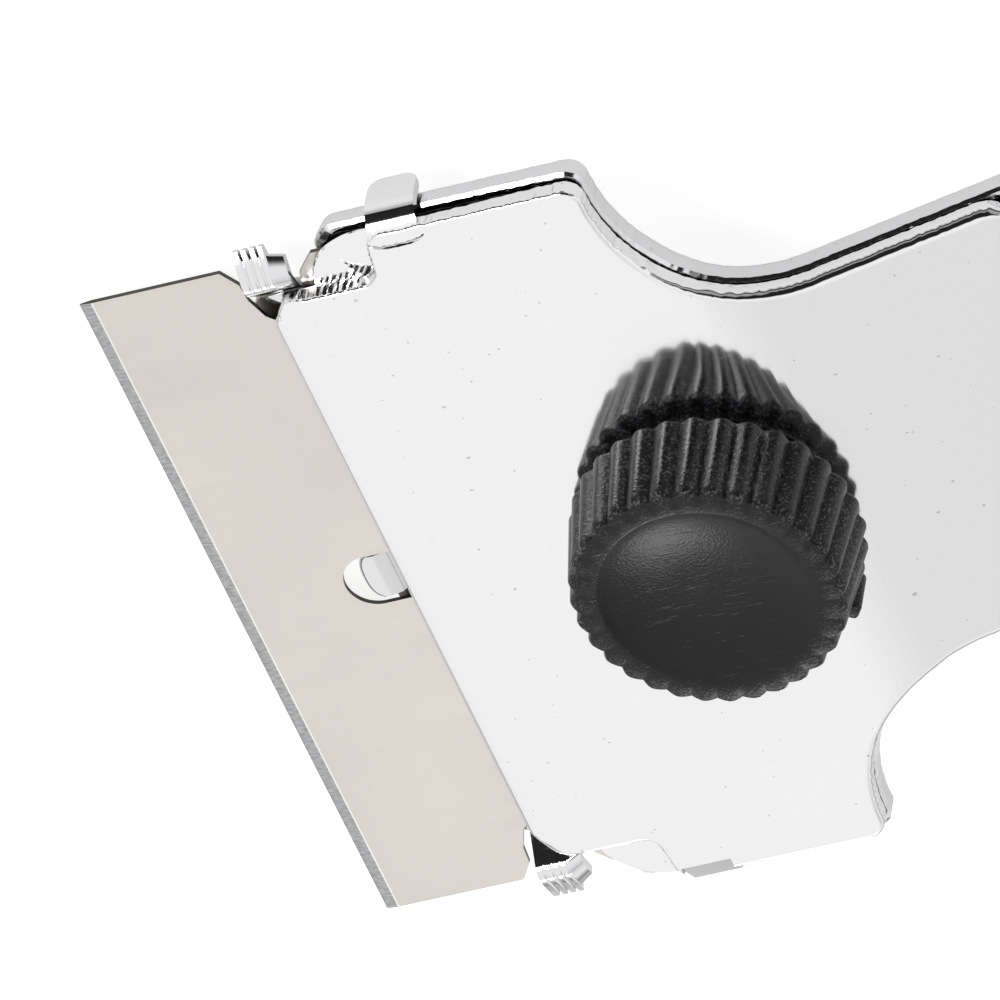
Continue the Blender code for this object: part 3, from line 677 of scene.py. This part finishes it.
# near-black for the blade's cut side faces: painted shade along its slot, notch and edge walls
CUT_FACE_SHADE = (0.1, 0.095, 0.09)
HONED_DARK, HONED_PALE = (0.3, 0.3, 0.305), (0.52, 0.52, 0.53)
notch = [(0.0, 0.0), (0.14, 0.26), (0.155, 0.54), (0.25, 0.86), (0.34, 0.97), (0.45, 1.0)]
notch += [(0.56, 0.97), (0.64, 0.88), (0.76, 0.55), (0.8, 0.28), (1.0, 0.0)]
half = [(BLADE_EDGE, 0.0), (BLADE_EDGE, BLADE_HALF)]
half += [(NOTCH_X + NOTCH_WIDE * a, BLADE_HALF - NOTCH_DEEP * b) for a, b in notch]
half += [(BLADE_REAR - 0.3, BLADE_HALF), (BLADE_REAR, BLADE_HALF - 0.3), (BLADE_REAR, 0.0)]
rim = half + [(x, -y) for x, y in reversed(half[1:-1])]
bm = bmesh.new()
rings = [[bm.verts.new((x, y, z)) for x, y in rim] for z in (BLADE_LOW, BLADE_LOW + BLADE_T)]
blade = loose("blade_strip", skin(bm, rings))
slot = []
for k in range(50):
    a = math.pi / 2.0 + math.tau * k / 50.0
    end = SLOT_X + SLOT_R if math.cos(a) < 0.0 else SLOT_X + SLOT_LONG - SLOT_R
    slot.append((end + SLOT_R * math.cos(a), SLOT_R * math.sin(a)))
bm = bmesh.new()
rings = [[bm.verts.new((x, y, z)) for x, y in slot] for z in (-4.0, 1.0)]
join(blade, skin(bm, rings), "DIFFERENCE")


def grind_edge(co):
    """The ground edge: a wide bevel, and a short steeper honed one at the very edge."""
    mid = BLADE_LOW + BLADE_T / 2.0
    keep = 0.12 + 0.3 * ramp(co.x, BLADE_EDGE, BLADE_EDGE + HONE)
    keep += 0.58 * ramp(co.x, BLADE_EDGE + HONE, BLADE_EDGE + GRIND)
    return Vector((co.x, co.y, mid + (co.z - mid) * keep))


steel, tree, shader = finish_for("blade_steel", 1.0, BLADE_STEEL)
place = tree.nodes.new("ShaderNodeTexCoord").outputs["Object"]
stain = range_node(tree, noise_node(tree, place, 190.0, 5.0), 0.35, 0.68, 0.0, 1.0)
ground = use_group(tree, lines, Line_Scale=3400.0, Across_X=0.04, Across_Y=1.0)
along_tool = tree.nodes.new("ShaderNodeSeparateXYZ")
tree.links.new(place, along_tool.inputs[0])
edge_at = (tool @ Vector((BLADE_EDGE + GRIND, 0.0, BLADE_LOW))).x
bevel = range_node(tree, along_tool.outputs[0], edge_at, edge_at - 0.00004, 0.0, 1.0)
burnish = range_node(tree, along_tool.outputs[0], edge_at + 0.00006, edge_at + 0.00003, 0.0, 1.0)
honed = use_group(tree, lines, Line_Scale=9000.0, Across_X=0.3, Across_Y=1.0)
cut_face_shade = tree.nodes.new("ShaderNodeAttribute")
cut_face_shade.attribute_name = "cut_face_shade"
hone_marks = range_node(tree, honed.outputs["Lines"], 0.3, 0.7, 0.0, 1.0)
grey_lines = blend_colour(tree, hone_marks, HONED_DARK, HONED_PALE, shader)
tone = blend_colour(tree, stain, BLADE_STEEL, STAINED_STEEL, shader)
tone = blend_colour(tree, burnish, tone, BURNISHED_STEEL, shader)
tone = blend_colour(tree, bevel, tone, grey_lines, shader)
# painted shade: the blade's cut side faces are coloured near-black, for the shade along the slot, notch and
# edge walls
blend_colour(tree, cut_face_shade.outputs["Fac"], tone, CUT_FACE_SHADE, shader)
tree.links.new(range_node(tree, ground.outputs["Lines"], 0.3, 0.7, 0.28, 0.36), shader.inputs["Roughness"])
emboss(tree, ground.outputs["Lines"], shader, 0.04, 0.00003)
lay_down(blade, steel, grind_edge, [BLADE_EDGE + HONE, BLADE_EDGE + GRIND], 4.0)
cut_faces = blade.data.attributes.new("cut_face_shade", "FLOAT", "FACE")
for face in blade.data.polygons:
    cut_faces.data[face.index].value = 1.0 if abs(face.normal.dot(up)) < 0.5 else 0.0
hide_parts("razor_blade")
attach(blade, "blade")

# Cover plate: the clamp plate, pressed from bright-plated sheet. Its rolled front lip bears on the
# blade, its front corners are pressed in above a low ledge, and two straps at the sides reach down
# past the base's rim, so that it can't swing when the knob is loosened.
COVER_HEAD = 20.1
COVER_HEAD_REAR = 16.52
COVER_NECK_R = 7.94
COVER_REAR = 34.0
COVER_RIM = 0.78
COVER_RIM_MORE = 0.22
CORNER_RIM_MORE = 0.32
RECESS_MARK = 0.038
COVER_MARK = 0.022
FRONT_HALF = 16.0
RECESS_HALF = 17.4
RECESS_LONG = 5.75
LEDGE_FROM = 2.6
LIP_LONG = 2.4
LIP_DROP = 0.62
LIP_EDGE_T = 0.4
STRAP_FROM = 6.35
STRAP_WIDE = 2.4
STRAP_OUT = 20.98
STRAP_LOW = -3.1
STRAP_BEND_R = 1.5
STRAP_CREASE = 19.3
STRAP_FLAT_DEG = 33.0
STRAP_CORNER = 0.7
STRAP_TOP = -0.02
corners = [
    (0.0, 0.0),
    (0.0, FRONT_HALF, CORNER_R),
    (0.95, RECESS_HALF, CORNER_R),
    (RECESS_LONG, RECESS_HALF, 0.8),
    (RECESS_LONG + 0.35, COVER_HEAD, CORNER_R),
    (COVER_HEAD_REAR, COVER_HEAD, CORNER_R),
    (COVER_HEAD_REAR, COVER_SIDE, COVER_NECK_R),
    (COVER_REAR, COVER_SIDE, REAR_CORNER_R),
    (COVER_REAR, 0.0),
]
top = blank_outline(corners, 0.1)


def ledge_edge(outline):
    """The outline of the rim's free edge: as above, but round at the head's front corners."""
    first = next(i for i, p in enumerate(outline) if p.x > LEDGE_FROM)
    last = next(i for i, p in enumerate(outline) if i > first and p.x > RECESS_LONG + 1.4)
    run = [0.0]
    for a, b in zip(outline[first:last], outline[first + 1:last + 1]):
        run.append(run[-1] + (b - a).length)
    start = outline[first]
    stop = outline[last]
    hub = Vector((RECESS_LONG + 0.15, start.y))
    wide = hub.x - start.x
    high = stop.y - start.y
    arc = [Vector((hub.x - wide * math.cos(a), hub.y + high * math.sin(a)))
           for a in (math.pi / 2.0 * k / 40.0 for k in range(41))] + [stop]
    marks_at = [0.0]
    for a, b in zip(arc, arc[1:]):
        marks_at.append(marks_at[-1] + (b - a).length)
    edge = [p.copy() for p in outline]
    for i in range(first, last + 1):
        goal = marks_at[-1] * run[i - first] / run[-1]
        k = max(j for j, m in enumerate(marks_at[:-1]) if m <= goal + 1e-9)
        part = (goal - marks_at[k]) / (marks_at[k + 1] - marks_at[k])
        edge[i] = arc[k].lerp(arc[k + 1], part)
        edge[-i] = Vector((edge[i].x, -edge[i].y))
    return edge


low = ledge_edge(top)
turned_over = [ramp(p.x, 0.3, 1.5) for p in top]
rims = []
bends = []
draw_marks = []
for p in top:
    depth = COVER_RIM + COVER_RIM_MORE * ramp(p.x, 9.0, 16.5)
    rims.append(depth + CORNER_RIM_MORE * (1.0 - ramp(p.x, 5.0, 6.5)))
    bends.append(0.2 + 0.38 * ramp(p.x, 15.5, 23.0))
    draw_marks.append(RECESS_MARK if p.x < RECESS_LONG + 0.4 else COVER_MARK)
cover = loose("cover_pressing", pressed_tray(top, low, rims, bends, turned_over, draw_marks, False, 3.0))

for side in (1.0, -1.0):
    bm = bmesh.new()
    rings = []
    hub = STRAP_OUT - STRAP_BEND_R
    thin = SHEET - 0.06
    for s in range(25):
        share = 0.5 - 0.5 * math.cos(math.pi * s / 24.0)
        x = STRAP_FROM + STRAP_WIDE * share
        edge = STRAP_CORNER - min(STRAP_CORNER, STRAP_WIDE * min(share, 1.0 - share))
        end = STRAP_LOW + STRAP_CORNER - math.sqrt(STRAP_CORNER ** 2 - edge ** 2)
        section = [(hub - 0.9, STRAP_TOP)]
        for k in range(13):
            a = math.pi / 2.0 * k / 12.0
            sag = STRAP_BEND_R * (1.0 - math.cos(a))
            section.append((hub + STRAP_BEND_R * math.sin(a), STRAP_TOP - sag))
        section += [(STRAP_OUT, end + 0.1), (STRAP_OUT - 0.1, end), (STRAP_OUT - thin + 0.1, end)]
        section.append((STRAP_OUT - thin, end + 0.1))
        for k in range(12, -1, -1):
            a = math.pi / 2.0 * k / 12.0
            r = STRAP_BEND_R - thin
            section.append((hub + r * math.sin(a), STRAP_TOP - STRAP_BEND_R + r * math.cos(a)))
        section.append((hub - 0.9, STRAP_TOP - thin))
        rings.append([bm.verts.new((x, side * y, z)) for y, z in section])
    join(cover, skin(bm, rings), "UNION")

# one strap has a rough crease where it was folded, and the other is folded flat over the corner
bm = bmesh.new()
rings = []
for s in range(28):
    share = s / 27.0
    x = STRAP_FROM - 0.15 + (STRAP_WIDE + 0.3) * share
    rough = noise.noise(Vector((x * 5.0, 0.0, 4.0)))
    wide = (0.16 + 0.09 * rough) * math.sqrt(math.sin(math.pi * (0.06 + 0.88 * share)))
    y = STRAP_CREASE + 0.3 * (2.0 * share - 1.0) ** 4 + 0.04 * rough
    section = [(-wide, 0.06), (0.02, -0.14 - 0.05 * rough), (wide, 0.06)]
    rings.append([bm.verts.new((x, y + out, z)) for out, z in section])
join(cover, skin(bm, rings), "DIFFERENCE")
flat = math.radians(STRAP_FLAT_DEG)
chord = STRAP_BEND_R * math.cos(flat)
flat_y = STRAP_OUT - STRAP_BEND_R + chord * math.sin(flat)
flat_z = STRAP_TOP - STRAP_BEND_R + chord * math.cos(flat)
bm = bmesh.new()
bmesh.ops.create_cube(bm, size=1.0)
bmesh.ops.translate(bm, verts=bm.verts, vec=(0.0, 0.0, 0.5))
bmesh.ops.scale(bm, vec=(STRAP_WIDE + 0.08, 3.0, 1.0), verts=bm.verts)
bmesh.ops.rotate(bm, verts=bm.verts, matrix=Matrix.Rotation(flat, 3, "X"))
bmesh.ops.translate(bm, verts=bm.verts, vec=(STRAP_FROM + STRAP_WIDE / 2.0, -flat_y, flat_z))
join(cover, bm, "DIFFERENCE")
join(cover, drill(STUD_R + 0.4, KNOB_X), "DIFFERENCE")


def roll_lip(co):
    """The front lip rolled down onto the blade, and the handle's bend."""
    z = co.z
    if co.x < LIP_LONG:
        bow = ((LIP_LONG - co.x) / LIP_LONG) ** 1.6
        under = LIP_DROP - SHEET + LIP_EDGE_T
        fall = under + (LIP_DROP - under) * ramp(z, -SHEET, 0.0)
        z -= fall * bow * ramp(z, -1.05, -SHEET)
    return bend_handle(Vector((co.x, co.y, z)))


COVER_CHROME = (0.895, 0.895, 0.9)
LIP_LINES = [LIP_LONG * k / 12.0 for k in range(1, 13)]
cover_plating = bright_plating("cover_plating", COVER_CHROME, 0.07, 0.12, 120.0)
lay_down(cover, cover_plating, roll_lip, LIP_LINES + BEND_LINES)
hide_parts("cover_plate")
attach(cover, "cover")

# Knob washer: a thin zinc-plated washer let into the underside of the knob.
# It takes the clamping load, so that the plastic stays just clear of the plating.
WASHER_R = 4.6
WASHER_LOW = 0.3
WASHER_TOP = 0.8
hole = STUD_R + 0.4
profile = [(WASHER_R - 0.08, WASHER_TOP), (WASHER_R, 0.72), (WASHER_R, 0.38), (WASHER_R - 0.08, WASHER_LOW)]
profile += [(hole + 0.05, WASHER_LOW), (hole, 0.35), (hole, 0.75), (hole + 0.05, WASHER_TOP)]
washer = loose("washer_ring", turned(profile, KNOB_X, 72, True))
lay_down(washer, plain_zinc("washer_zinc", (0.58, 0.58, 0.59)))
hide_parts("knob_washer")
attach(washer, "knob")

# Knob insert: a turned brass nut that runs on the stud. It is grooved round the middle, so that the
# knob, which is moulded round it, grips it.
INSERT_R = 3.3
INSERT_LOW = 1.4
INSERT_TOP = 3.95
profile = [(INSERT_R - 0.2, INSERT_TOP), (INSERT_R, INSERT_TOP - 0.2)]
for k in range(3):
    z = INSERT_TOP - 0.6 - 0.6 * k
    profile += [(INSERT_R, z), (INSERT_R - 0.15, z - 0.1), (INSERT_R - 0.15, z - 0.25), (INSERT_R, z - 0.35)]
profile += [(INSERT_R, INSERT_LOW + 0.2), (INSERT_R - 0.2, INSERT_LOW)]
profile += [(STUD_R + 0.3, INSERT_LOW), (STUD_R + 0.3, INSERT_TOP)]
insert = loose("insert_nut", turned(profile, KNOB_X, 64, True))
BRASS = (0.74, 0.55, 0.27)
brass, tree, shader = finish_for("insert_brass", 1.0, BRASS)
wave = use_group(tree, ripple, Ripple_Scale=420.0, Gloss=0.2, Haze=0.36)
cut = use_group(tree, lines, Line_Scale=2400.0, Across_X=1.0, Across_Y=0.08)
tree.links.new(wave.outputs["Roughness"], shader.inputs["Roughness"])
blend_colour(tree, wave.outputs["Height"], BRASS, (0.6, 0.42, 0.2), shader)
emboss(tree, cut.outputs["Lines"], shader, 0.15, 0.00004)
lay_down(insert, brass)
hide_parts("knob_insert")
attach(insert, "knob")

# Clamp knob: moulded in black plastic with a fluted skirt and a dished top, worn by fingers.
# A small gate mark stands on the skirt; the pocket below holds the brass nut and the washer.
KNOB_R = 6.45
SKIRT_R = 6.9
COLLAR_R = 5.8
KNOB_LOW = 0.3
SKIRT_LOW = 0.75
KNOB_TOP = 5.55
POCKET_TOP = 4.25
WASHER_SEAT = 1.1
FLUTES = 32
FLUTE_DEEP = 0.36
DISH_R = 5.0
DISH_DEEP = 0.72
GATE_DEG = -39.0
GATE_REACH = 6.6
GATE_Z = 2.2
GATE_SIZE = (1.0, 0.9, 2.5)
PLASTIC = (0.0088, 0.0085, 0.0096)
RUBBED_PLASTIC = (0.004, 0.0039, 0.0045)
SCUFF = (0.02, 0.02, 0.021)
# light grey for the skirt's specks: its frosted texture, and painted glints of it
SPECK_GLINT = (0.15, 0.15, 0.155)
points = FLUTES * 12
levels = [
    (SKIRT_LOW, SKIRT_R - 0.3, 0.3),
    (SKIRT_LOW + 0.04, SKIRT_R - 0.15, 0.6),
    (SKIRT_LOW + 0.15, SKIRT_R - 0.03, 0.9),
    (SKIRT_LOW + 0.3, SKIRT_R, 1.0),
    (KNOB_TOP - 0.5, KNOB_R + 0.02, 1.0),
    (KNOB_TOP - 0.3, KNOB_R - 0.01, 0.97),
    (KNOB_TOP - 0.15, KNOB_R - 0.09, 0.85),
    (KNOB_TOP - 0.05, KNOB_R - 0.2, 0.6),
    (KNOB_TOP, KNOB_R - 0.4, 0.25),
]
bm = bmesh.new()


def knob_ring(z, radius, share=0.0):
    """A ring of the knob at one height; share is how deep its flutes are there."""
    ring = []
    for k in range(points):
        a = math.tau * k / points
        dip = 1.0 - abs(math.cos(FLUTES / 2.0 * a))
        r = radius - FLUTE_DEEP * share * dip
        ring.append(bm.verts.new((KNOB_X + r * math.cos(a), r * math.sin(a), z)))
    return ring


rings = [knob_ring(POCKET_TOP, 0.6), knob_ring(POCKET_TOP, INSERT_R + 0.3)]
rings += [knob_ring(WASHER_SEAT, INSERT_R + 0.3), knob_ring(WASHER_SEAT, WASHER_R + 0.3)]
rings += [knob_ring(KNOB_LOW, WASHER_R + 0.3), knob_ring(KNOB_LOW, COLLAR_R - 0.1)]
rings += [knob_ring(KNOB_LOW + 0.1, COLLAR_R), knob_ring(SKIRT_LOW, COLLAR_R)]
rings += [knob_ring(z, radius, share) for z, radius, share in levels]
rings += [knob_ring(KNOB_TOP, DISH_R + 0.14), knob_ring(KNOB_TOP - 0.02, DISH_R + 0.05)]
rings.append(knob_ring(KNOB_TOP - 0.07, DISH_R - 0.03))
for k in range(1, 16):
    share = 1.0 - k / 16.0
    sunk = KNOB_TOP - 0.1 - (DISH_DEEP - 0.1) * (1.0 - share ** 2.6)
    rings.append(knob_ring(sunk, (DISH_R - 0.1) * share))
knob = loose("knob_moulding", skin(bm, rings))
bm = bmesh.new()
bmesh.ops.create_cube(bm, size=1.0)
bmesh.ops.scale(bm, vec=GATE_SIZE, verts=bm.verts)
bmesh.ops.bevel(bm, geom=list(bm.edges), offset=0.25, segments=4, affect="EDGES", profile=0.5)
gate = math.radians(GATE_DEG)
bmesh.ops.rotate(bm, verts=bm.verts, matrix=Matrix.Rotation(gate, 3, "Z"))
gate_at = (KNOB_X + GATE_REACH * math.cos(gate), GATE_REACH * math.sin(gate), GATE_Z)
bmesh.ops.translate(bm, verts=bm.verts, vec=gate_at)
join(knob, bm, "UNION")
plastic, tree, shader = finish_for("knob_plastic", 0.0, PLASTIC)
place = tree.nodes.new("ShaderNodeTexCoord").outputs["Object"]
grain = noise_node(tree, place, 7600.0, 3.0)
thumb = tree.nodes.new("ShaderNodeAttribute")
thumb.attribute_name = "thumb_worn"
thumb = thumb.outputs["Fac"]
skirt = math_node(tree, "SUBTRACT", 1.0, thumb)
worn = use_group(tree, marks, Scratch_Share=0.3)
rubbed = math_node(tree, "MULTIPLY", worn.outputs["Scratches"], thumb)
# light specks on the skirt: its frosted texture, and painted glints of it
speck_glints = math_node(tree, "MULTIPLY", range_node(tree, grain, 0.51, 0.65, 0.0, 1.0), skirt)
tone = blend_colour(tree, thumb, PLASTIC, RUBBED_PLASTIC, shader)
tone = blend_colour(tree, rubbed, tone, SCUFF, shader)
blend_colour(tree, speck_glints, tone, SPECK_GLINT, shader)
shader.inputs["Specular IOR Level"].default_value = 0.3
tree.links.new(range_node(tree, thumb, 0.0, 1.0, 0.34, 0.22), shader.inputs["Roughness"])
coarse = math_node(tree, "MULTIPLY", grain, range_node(tree, thumb, 0.0, 1.0, 0.5, 0.2))
coarse = math_node(tree, "ADD", coarse, math_node(tree, "MULTIPLY", rubbed, 0.25))
emboss(tree, coarse, shader, 1.0, 0.00008)
smooth = knob.data.attributes.new("thumb_worn", "FLOAT", "POINT")
for v in knob.data.vertices:
    reach = math.hypot(v.co.x - KNOB_X, v.co.y)
    if v.co.z > KNOB_TOP - 0.9 and reach < KNOB_R - 0.1:
        smooth.data[v.index].value = 1.0 - ramp(reach, KNOB_R - 0.5, KNOB_R - 0.1)
    else:
        dip = 1.0 - abs(math.cos(FLUTES / 2.0 * math.atan2(v.co.y, v.co.x - KNOB_X)))
        smooth.data[v.index].value = 0.7 - 0.7 * ramp(dip, 0.05, 0.4)
lay_down(knob, plastic)
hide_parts("clamp_knob")
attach(knob, "knob")

# Floor: plain and pale, wide enough for every view. Its glow under the tool fades out aside, sooner
# on one side, which keeps the folds there grey.
FLOOR_GLOW = 0.37
FLOOR_SEEN = 0.78
bm = bmesh.new()
bmesh.ops.create_grid(bm, x_segments=2, y_segments=2, size=4.0)
floor = loose("floor", bm)
floor.location.z = -0.00002
pale, tree, shader = finish_for("floor_paper", 0.0, (0.5, 0.5, 0.5))
shader.inputs["Roughness"].default_value = 0.9
shader.inputs["Emission Color"].default_value = (1.0, 1.0, 1.0, 1.0)
place = tree.nodes.new("ShaderNodeTexCoord").outputs["Object"]
across = tree.nodes.new("ShaderNodeSeparateXYZ")
tree.links.new(place, across.inputs[0])
sooner = math_node(tree, "MULTIPLY", across.outputs[1], -1.5)
aside = math_node(tree, "MAXIMUM", across.outputs[1], sooner)
glow = range_node(tree, aside, 0.03, 0.055, FLOOR_GLOW, 0.0)
seen = tree.nodes.new("ShaderNodeLightPath").outputs["Is Camera Ray"]
glow = math_node(tree, "MAXIMUM", glow, math_node(tree, "MULTIPLY", seen, FLOOR_SEEN))
tree.links.new(glow, shader.inputs["Emission Strength"])
floor.data.materials.append(pale)

# Light: a white studio all round with two small lamps, one on each side of the blade. It is dimmer
# over the handle, with a flag before it, darker towards the horizon, and dark on the side from which
# the picture is taken, where a dim strip keeps the plating from looking black.
STUDIO_LEVEL = 0.97
LAMP_SIDE, LAMP_LEVEL = Vector((-0.354, -0.824, 0.4455)), 6.0
FILL_SIDE, FILL_LEVEL = Vector((-0.4755, 0.571, 0.669)), 10.0
FLAG_SIDE, FLAG_SHARE = Vector((0.206, -0.571, 0.794)), 0.42
DIM_SIDE, DIM_SHARE = Vector((0.352, -0.553, 0.754)), 0.19
DARK_SIDE, DARK_SHARE = Vector((0.2575, 0.9, 0.2294)), 0.985
STRIP_SHARE = 0.37
world = bpy.data.worlds.new("studio")
bpy.context.scene.world = world
world.use_nodes = True
tree = world.node_tree
sky = tree.nodes["Background"]
place = tree.nodes.new("ShaderNodeTexCoord").outputs["Generated"]


def toward(direction, near_deg, far_deg):
    """1 within near_deg of a direction, falling to 0 at far_deg."""
    dot = tree.nodes.new("ShaderNodeVectorMath")
    dot.operation = "DOT_PRODUCT"
    tree.links.new(place, dot.inputs[0])
    dot.inputs[1].default_value = direction.normalized()
    near = math.cos(math.radians(near_deg))
    far = math.cos(math.radians(far_deg))
    node = tree.nodes.new("ShaderNodeMapRange")
    node.interpolation_type = "SMOOTHSTEP"
    tree.links.new(dot.outputs["Value"], node.inputs["Value"])
    node.inputs["From Min"].default_value = far
    node.inputs["From Max"].default_value = near
    return node.outputs[0]


dim = math_node(tree, "MULTIPLY", toward(DIM_SIDE, 0.0, 46.0), DIM_SHARE)
flag = math_node(tree, "MULTIPLY", toward(FLAG_SIDE, 5.0, 13.0), FLAG_SHARE)
dim = math_node(tree, "MAXIMUM", dim, flag)
dark = math_node(tree, "MULTIPLY", toward(DARK_SIDE, 49.0, 58.0), DARK_SHARE)
heading = tree.nodes.new("ShaderNodeSeparateXYZ")
tree.links.new(place, heading.inputs[0])
height = heading.outputs[2]
length = heading.outputs[0]
fades_from = range_node(tree, length, 0.3, 0.5, 0.34, 0.6)
fades_to = range_node(tree, length, 0.3, 0.5, 0.44, 0.72)
strip = math_node(tree, "MINIMUM", range_node(tree, height, 0.16, 0.25, 0.0, 1.0),
                  range_node(tree, height, fades_from, fades_to, 1.0, 0.0))
strip = math_node(tree, "MULTIPLY", strip, range_node(tree, length, -0.36, -0.24, 0.0, STRIP_SHARE))
dark = math_node(tree, "MULTIPLY", dark, math_node(tree, "SUBTRACT", 1.0, strip))
lamp = math_node(tree, "MULTIPLY", toward(LAMP_SIDE, 4.0, 10.0), LAMP_LEVEL)
fill = math_node(tree, "MULTIPLY", toward(FILL_SIDE, 8.0, 12.0), FILL_LEVEL)
lamp = math_node(tree, "ADD", lamp, fill)
horizon = range_node(tree, height, 0.0, 0.17, 0.2, 1.0)
level = math_node(tree, "SUBTRACT", STUDIO_LEVEL, dim)
level = math_node(tree, "MULTIPLY", level, math_node(tree, "SUBTRACT", 1.0, dark))
level = math_node(tree, "MULTIPLY", math_node(tree, "ADD", level, lamp), horizon)
seen = tree.nodes.new("ShaderNodeLightPath").outputs["Is Camera Ray"]
tree.links.new(math_node(tree, "MAXIMUM", level, seen), sky.inputs["Strength"])
sky.inputs["Color"].default_value = (1.0, 1.0, 1.0, 1.0)

# Camera: a long lens at the picture's angle, from above the end of the blade. The four vectors are
# in the tool's own frame, in millimetres, and the picture is square, 1000 pixels wide.
RIGHT = Vector((0.92309399, -0.36550556, -0.11959589))
DOWN = Vector((-0.20725343, -0.73476259, 0.64588695))
AHEAD = Vector((-0.32394986, -0.57142770, -0.75400721))
OFFSET = Vector((-4.5158, 4.1793, 920.5214))
LENS_PX = 20000.0
lens = bpy.data.cameras.new("studio_camera")
lens.sensor_width = 36.0
lens.lens = LENS_PX * lens.sensor_width / 1000.0
camera = bpy.data.objects.new("studio_camera", lens)
bpy.context.scene.collection.objects.link(camera)
eye = -(RIGHT * OFFSET.x + DOWN * OFFSET.y + AHEAD * OFFSET.z)
turn_to = tool.to_3x3() @ Matrix((RIGHT, -DOWN, -AHEAD)).transposed() * (1.0 / MM)
camera.matrix_world = Matrix.Translation(tool @ eye) @ turn_to.to_4x4()
bpy.context.scene.camera = camera
bpy.context.scene.view_settings.view_transform = "Standard"
